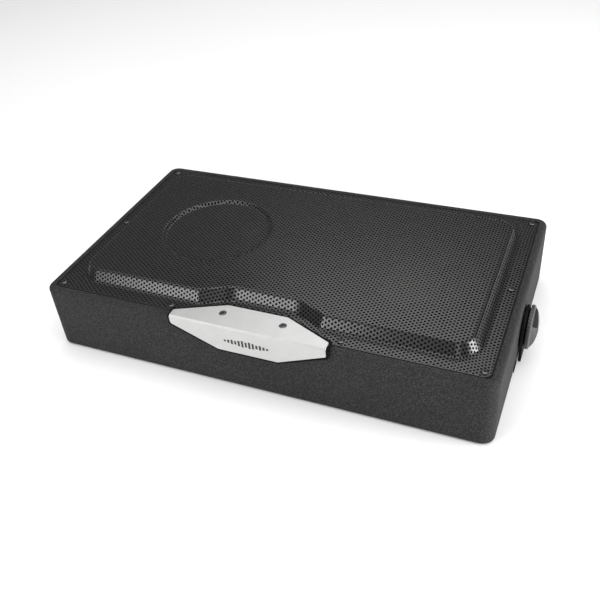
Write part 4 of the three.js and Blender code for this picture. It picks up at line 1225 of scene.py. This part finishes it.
lo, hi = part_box("speaker_input")
mouth = block("mouth", (lo.x + 2 * MM, panel_face - 6 * MM, lo.z + 2 * MM),
              (hi.x - 2 * MM, hi.y + 9 * MM, hi.z - 2 * MM), 0.6 * MM)
socket = carve(block("speaker_socket", lo, hi, 0.5 * MM), [mouth])
place("speaker_socket", smooth(socket), plastic, "cabinet", ("speaker_input",))
pins = []
for k in range(4):
    for z in (lo.z + 4.2 * MM, hi.z - 4.2 * MM):
        x = lo.x + (5 + 5.2 * k) * MM
        pins.append(block("pin", (x - 0.4 * MM, panel_face - 6.5 * MM, z - 0.4 * MM),
                          (x + 0.4 * MM, panel_face - 0.8 * MM, z + 0.4 * MM), 0.15 * MM))
place("speaker_pins", joined("speaker_pins", pins), nickel, "cabinet")

lo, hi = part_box("fuse")
grip = block("grip", (lo.x - 9 * MM, hi.y - 2.2 * MM, hi.z - 1 * MM),
             (hi.x + 9 * MM, hi.y - 0.9 * MM, hi.z + 9 * MM), 0.2 * MM)
fuse_body = carve(block("blade_fuse", lo, hi, 0.8 * MM, 3), [grip])
# Amber-tinted polycarbonate: an even, glossy colour.
amber = plain_finish("tinted_polycarbonate", "#c2620f", "#dd8524", 6 * MM, 0.18)
place("blade_fuse", smooth(fuse_body), amber, "cabinet", ("fuse",))
bezel = carve(block("fuse_bezel", (lo.x - 3 * MM, panel_face, lo.z - 3 * MM),
                    (hi.x + 3 * MM, panel_face + 1.6 * MM, hi.z + 3 * MM), 0.5 * MM),
              [block("hole", (lo.x - 0.2 * MM, panel_face - 9 * MM, lo.z - 0.2 * MM),
                     (hi.x + 0.2 * MM, panel_face + 9 * MM, hi.z + 0.2 * MM))])
place("fuse_bezel", smooth(bezel), plastic, "cabinet")

lo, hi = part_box("status_light")
x, z, r = (lo.x + hi.x) / 2, (lo.z + hi.z) / 2, (hi.x - lo.x) / 2
lens = turned("lens", [(0, lo.y), (r, lo.y), (r, hi.y - r)]
              + [(r * math.cos(math.radians(a)), hi.y - r + r * math.sin(math.radians(a)))
                 for a in range(15, 90, 15)] + [(0, hi.y)], 40, "Y", (x, 0, z))
# Polished blue acrylic, the glossiest thing on the panel.
lens_blue = plain_finish("clear_blue_acrylic", "#3a78c8", "#5590dd", 1 * MM, 0.12)
place("light_lens", smooth(lens), lens_blue, "cabinet", ("status_light",))
bezel = turned("light_bezel", [(r + 0.1 * MM, panel_face), (r + 1.2 * MM, panel_face),
                               (r + 1 * MM, panel_face + 0.7 * MM),
                               (r + 0.1 * MM, panel_face + 0.9 * MM)], 48, "Y", (x, 0, z))
place("light_bezel", smooth(bezel), nickel, "cabinet")

# The slide switch: a ridged slider that moves 4 mm in a slot with a raised frame.
lo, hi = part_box("phase_switch")
ridges = [block("gap", (lo.x + (0.55 + 0.9 * k) * MM, hi.y - 0.5 * MM, lo.z - MM),
                (lo.x + (0.85 + 0.9 * k) * MM, hi.y + 9 * MM, hi.z + MM)) for k in range(3)]
slider = carve(block("slider", lo, hi, 0.25 * MM), ridges)
place("phase_slider", smooth(slider), white_print, "phase_switch",
      ("phase_switch",))
travel = 4 * MM
frame_mesh = carve(
    block("switch_frame", (lo.x - 2 * MM, panel_face, lo.z - 2 * MM),
          (hi.x + travel + 2 * MM, panel_face + 1 * MM, hi.z + 2 * MM), 0.3 * MM),
    [block("slot", (lo.x - 0.4 * MM, panel_face - 9 * MM, lo.z - 0.4 * MM),
           (hi.x + travel + 0.4 * MM, panel_face + 9 * MM, hi.z + 0.4 * MM))])
place("switch_frame", smooth(frame_mesh), plastic, "cabinet")
for k, x in enumerate((lo.x + 1.6 * MM, hi.x + travel - 1.6 * MM)):
    for row in range(k + 1):
        add_print(x - 1.3 * MM, x + 1.3 * MM, lo.z - 4.2 * MM - row * 1.1 * MM,
                  lo.z - 3.8 * MM - row * 1.1 * MM)
for name in ("power_terminal", "speaker_input"):
    lo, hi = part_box(name)
    add_print(lo.x, hi.x, hi.z + 1.6 * MM, hi.z + 2 * MM)
place("panel_print", joined("panel_print", prints), white_print, "cabinet")

panel_screw = cross_screw("panel_screw", 3 * MM, 1.6 * MM, 8 * MM)
for spot in ("lower_left", "lower_right", "upper_left", "upper_right"):
    lo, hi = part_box("panel_screw_" + spot)
    mesh = panel_screw.copy()
    mesh.transform(Matrix.Translation(((lo.x + hi.x) / 2, hi.y - 1.6 * MM, (lo.z + hi.z) / 2))
                   @ Matrix.Rotation(-math.pi / 2, 4, "X")
                   @ Matrix.Rotation(lo.x * 40 + lo.z * 90, 4, "Z"))
    place("screw_panel_" + spot, mesh, blacked, "cabinet",
          ("panel_screw_" + spot,))

# ---- Side straps and clamp knobs --------------------------------------------------------------
# On each side a black-enamelled steel strap hangs from the stud of a clamp knob, over a rubber
# washer. The knob is moulded ABS: a fluted flange, a low dome and a half-moon grip whose two
# ends slope on opposite sides, so that fingers push it round.

strap_shape = []
head_r, strap_w, end_r = 24 * MM, 30 * MM, 2.5 * MM
slot_r, slot_half, slot_z = 2.6 * MM, 4 * MM, -32 * MM
washer_r, knob_r, knob_stud_r = 20 * MM, 24.5 * MM, 3 * MM
strap_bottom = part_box("strap_right")[0].z - stud_z
for i in range(41):
    a = -0.65 + (math.pi + 1.3) * i / 40
    strap_shape.append((head_r * math.cos(a), head_r * math.sin(a)))
strap_shape += [(-strap_w / 2, -head_r + 4 * MM)]
strap_shape += [(-strap_w / 2 + end_r * (1 - math.cos(math.radians(a))),
                 strap_bottom + end_r * (1 - math.sin(math.radians(a))))
                for a in range(0, 91, 15)]
strap_shape += [(strap_w / 2 - end_r * (1 - math.cos(math.radians(a))),
                 strap_bottom + end_r * (1 - math.sin(math.radians(a))))
                for a in range(90, -1, -15)]
strap_shape += [(strap_w / 2, -head_r + 4 * MM)]


def strap_enamel():
    """Black enamel dipped on steel strap: deep black and dull, with slight sags."""
    return mottled("dipped_black_enamel", "#040404", "#0b0b0b", 5 * MM, 3, 0.05 * MM,
                   {"Roughness": 0.6, "IOR": 1.5, "Specular IOR Level": 0.15})


enamelled = strap_enamel()
flutes, lean = 40, math.radians(40)


def depth_of(name):
    """A side piece's nearest and farthest reach from the wall."""
    lo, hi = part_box(name)
    return sorted((abs(lo.x) - half_x, abs(hi.x) - half_x))


for side, sign in (("left", -1), ("right", 1)):
    # Everything is drawn along +X from the wall, with the stud at the origin, and the left one
    # is given a half turn about the upright line through the stud.
    to_side = (Matrix.Translation((sign * half_x, stud_y, stud_z))
               @ Matrix.Rotation(0 if sign == 1 else math.pi, 4, "Z"))

    near, far = depth_of("strap_" + side)
    bevel = 0.5 * MM
    rows = []
    for inset, x in ((bevel, near), (0, near + bevel), (0, far - bevel), (bevel, far)):
        scale = 1 - inset / head_r
        rows.append([(x, y * scale, z * scale) for y, z in strap_shape])
    slot = [(slot_half + slot_r * math.cos(math.radians(a)),
             slot_z + slot_r * math.sin(math.radians(a))) for a in range(-90, 91, 15)]
    slot += [(-y, 2 * slot_z - z) for y, z in slot]
    slot_cut = loft("slot", [[(x, y, z) for y, z in slot] for x in (near - MM, far + MM)])
    stud_cut = turned("hole", [(0, near - MM), (stud_hole_r, near - MM), (stud_hole_r, far + MM),
                               (0, far + MM)], 40, "X")
    strap = carve(loft("strap", rows), [slot_cut, stud_cut])
    strap.transform(to_side)
    piece = place("steel_strap_" + side, smooth(strap), enamelled, "strap_" + side,
                  ("strap_" + side,))
    piece.modifiers.new("flat_faces", "WEIGHTED_NORMAL").keep_sharp = True

    near, far = depth_of("clamp_washer_" + side)
    soft = 0.25 * MM
    washer = turned("washer", [
        (stud_hole_r, near), (washer_r - soft, near), (washer_r, near + soft),
        (washer_r, far - soft), (washer_r - soft, far), (stud_hole_r, far)], 96, "X")
    washer.transform(to_side)
    place("rubber_washer_" + side, smooth(washer), rubber, "clamp_washer_" + side,
          ("clamp_washer_" + side,))

    base = far + 0.3 * MM
    stud_in, top = depth_of("clamp_knob_" + side)
    knob_rows = []
    for r, x, flute in ((knob_stud_r, stud_in, 0), (knob_stud_r, base, 0),
                        (knob_r - 0.9 * MM, base, 0), (knob_r - 0.2 * MM, base + 0.5 * MM, 0.5),
                        (knob_r, base + 1 * MM, 1), (knob_r, base + 3.2 * MM, 1),
                        (knob_r - 0.4 * MM, base + 3.9 * MM, 0.5),
                        (knob_r - 1.3 * MM, base + 4.3 * MM, 0), (18 * MM, base + 4.7 * MM, 0),
                        (12 * MM, base + 4.9 * MM, 0), (5 * MM, base + 5 * MM, 0)):
        loop = []
        for i in range(flutes * 6):
            a = 2 * math.pi * i / (flutes * 6)
            here = r - flute * 0.45 * MM * (0.5 + 0.5 * math.cos(flutes * a))
            loop.append((x, here * math.cos(a), here * math.sin(a)))
        knob_rows.append(loop)
    knob = loft("knob", knob_rows)
    knob.transform(to_side)
    place("knob_body_" + side, smooth(knob, 40), plastic, "clamp_knob_" + side,
          ("clamp_knob_" + side,))

    # The grip, in sections along its length: straight on one side, sloped on the other.
    grip_x, reach, flat, slope = base + 2 * MM, knob_r - 1.5 * MM, 3.4 * MM, 8.6 * MM
    height = top - grip_x
    for end, hand in (("upper", 1), ("lower", -1)):
        sections = []
        for i in range(15):
            p = reach * math.sin(math.radians(88.5 * i / 14))
            h = height * math.sqrt(1 - (p / reach) ** 2)
            corners = [(grip_x, -flat - slope * h / height), (grip_x + h, -flat + 3.4 * MM),
                       (grip_x + h, flat - 0.6 * MM), (grip_x + h * 0.9, flat), (grip_x, flat)]
            sections.append([(x, -hand * t, hand * p) for x, t in corners])
        grip = loft("grip", sections)
        grip.transform(to_side @ Matrix.Rotation(-lean, 4, "X"))
        place(f"knob_grip_{end}_{side}", smooth(grip, 30), plastic, "clamp_knob_" + side)

    lo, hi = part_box("side_bumper_" + side)
    bumper = block("bumper", lo, hi, 0.25 * MM, 3)
    place("bumper_" + side, smooth(bumper), rubber, "cabinet",
          ("side_bumper_" + side,))

# ---- Studio -----------------------------------------------------------------------------------
# A pale seamless floor. The bright softbox stands low on the right and a broad one hangs
# overhead; weaker ones stand high behind, at the front left and at the front right. The camera
# looks down from in front, to the right.


def pale_floor():
    """Matt white backdrop card, with the faintest mottle."""
    material, tree, where = begin("matt_white_card")
    mottle = node(tree, "TexNoise", {"Vector": where, "Scale": 3, "Detail": 2})
    colour = node(tree, "Mix", {0: mottle.outputs[0], 6: srgb("#f4f4f4"), 7: srgb("#f7f7f7")},
                  data_type="RGBA")
    shade(tree, {"Base Color": colour.outputs[2], "Roughness": 0.9})
    return material


floor_mesh = bpy.data.meshes.new("floor")
floor_size = 12
floor_mesh.from_pydata([(-floor_size, -floor_size, 0), (floor_size, -floor_size, 0),
                        (floor_size, floor_size, 0), (-floor_size, floor_size, 0)], [],
                       [(0, 1, 2, 3)])
floor_mesh.materials.append(pale_floor())
floor = bpy.data.objects.new("floor", floor_mesh)
bpy.context.scene.collection.objects.link(floor)

world = bpy.data.worlds.new("studio")
bpy.context.scene.world = world
world.use_nodes = True
world.node_tree.nodes["Background"].inputs["Color"].default_value = srgb("#ffffff")
world.node_tree.nodes["Background"].inputs["Strength"].default_value = 0.25


def softbox(name, location, target, size, radiance):
    """A rectangular lamp aimed at a point; its face is this many times as bright as white card."""
    lamp = bpy.data.lights.new(name, "AREA")
    lamp.shape, lamp.size, lamp.size_y = "RECTANGLE", *size
    lamp.energy = math.pi * size[0] * size[1] * radiance
    holder = bpy.data.objects.new(name, lamp)
    holder.location = location
    holder.rotation_euler = (Vector(target) - Vector(location)).to_track_quat("-Z", "Y").to_euler()
    holder.visible_camera = False
    bpy.context.scene.collection.objects.link(holder)


middle = (0, 0, 0.05)
softbox("key_right", (1.6, -0.1, 0.42), middle, (0.85, 0.6), 16)
softbox("overhead", (0, 0, 2.3), middle, (3.4, 2.8), 2)
softbox("back_card", (-0.5, 1.8, 2.05), middle, (1.1, 0.8), 2.4)
softbox("front_left", (-0.52, -1.1, 0.47), middle, (0.62, 0.42), 7.5)
softbox("front_right", (0.52, -1.15, 0.62), middle, (0.4, 0.4), 3)

camera_data = bpy.data.cameras.new("camera")
camera_data.lens, camera_data.sensor_width = 45.52, 36
camera = bpy.data.objects.new("camera", camera_data)
bpy.context.scene.collection.objects.link(camera)
bpy.context.scene.camera = camera
azimuth, elevation, roll = math.radians(25.91), math.radians(38.06), math.radians(-5.47)
camera.location = (0.31602, -0.66518, 0.59036)
look = Vector((-math.sin(azimuth) * math.cos(elevation), math.cos(azimuth) * math.cos(elevation),
               -math.sin(elevation)))
camera.rotation_mode = "QUATERNION"
camera.rotation_quaternion = look.to_track_quat("-Z", "Y") @ Quaternion((0, 0, 1), roll)
camera_data.clip_start = 0.01
bpy.context.scene.view_settings.view_transform = "Standard"
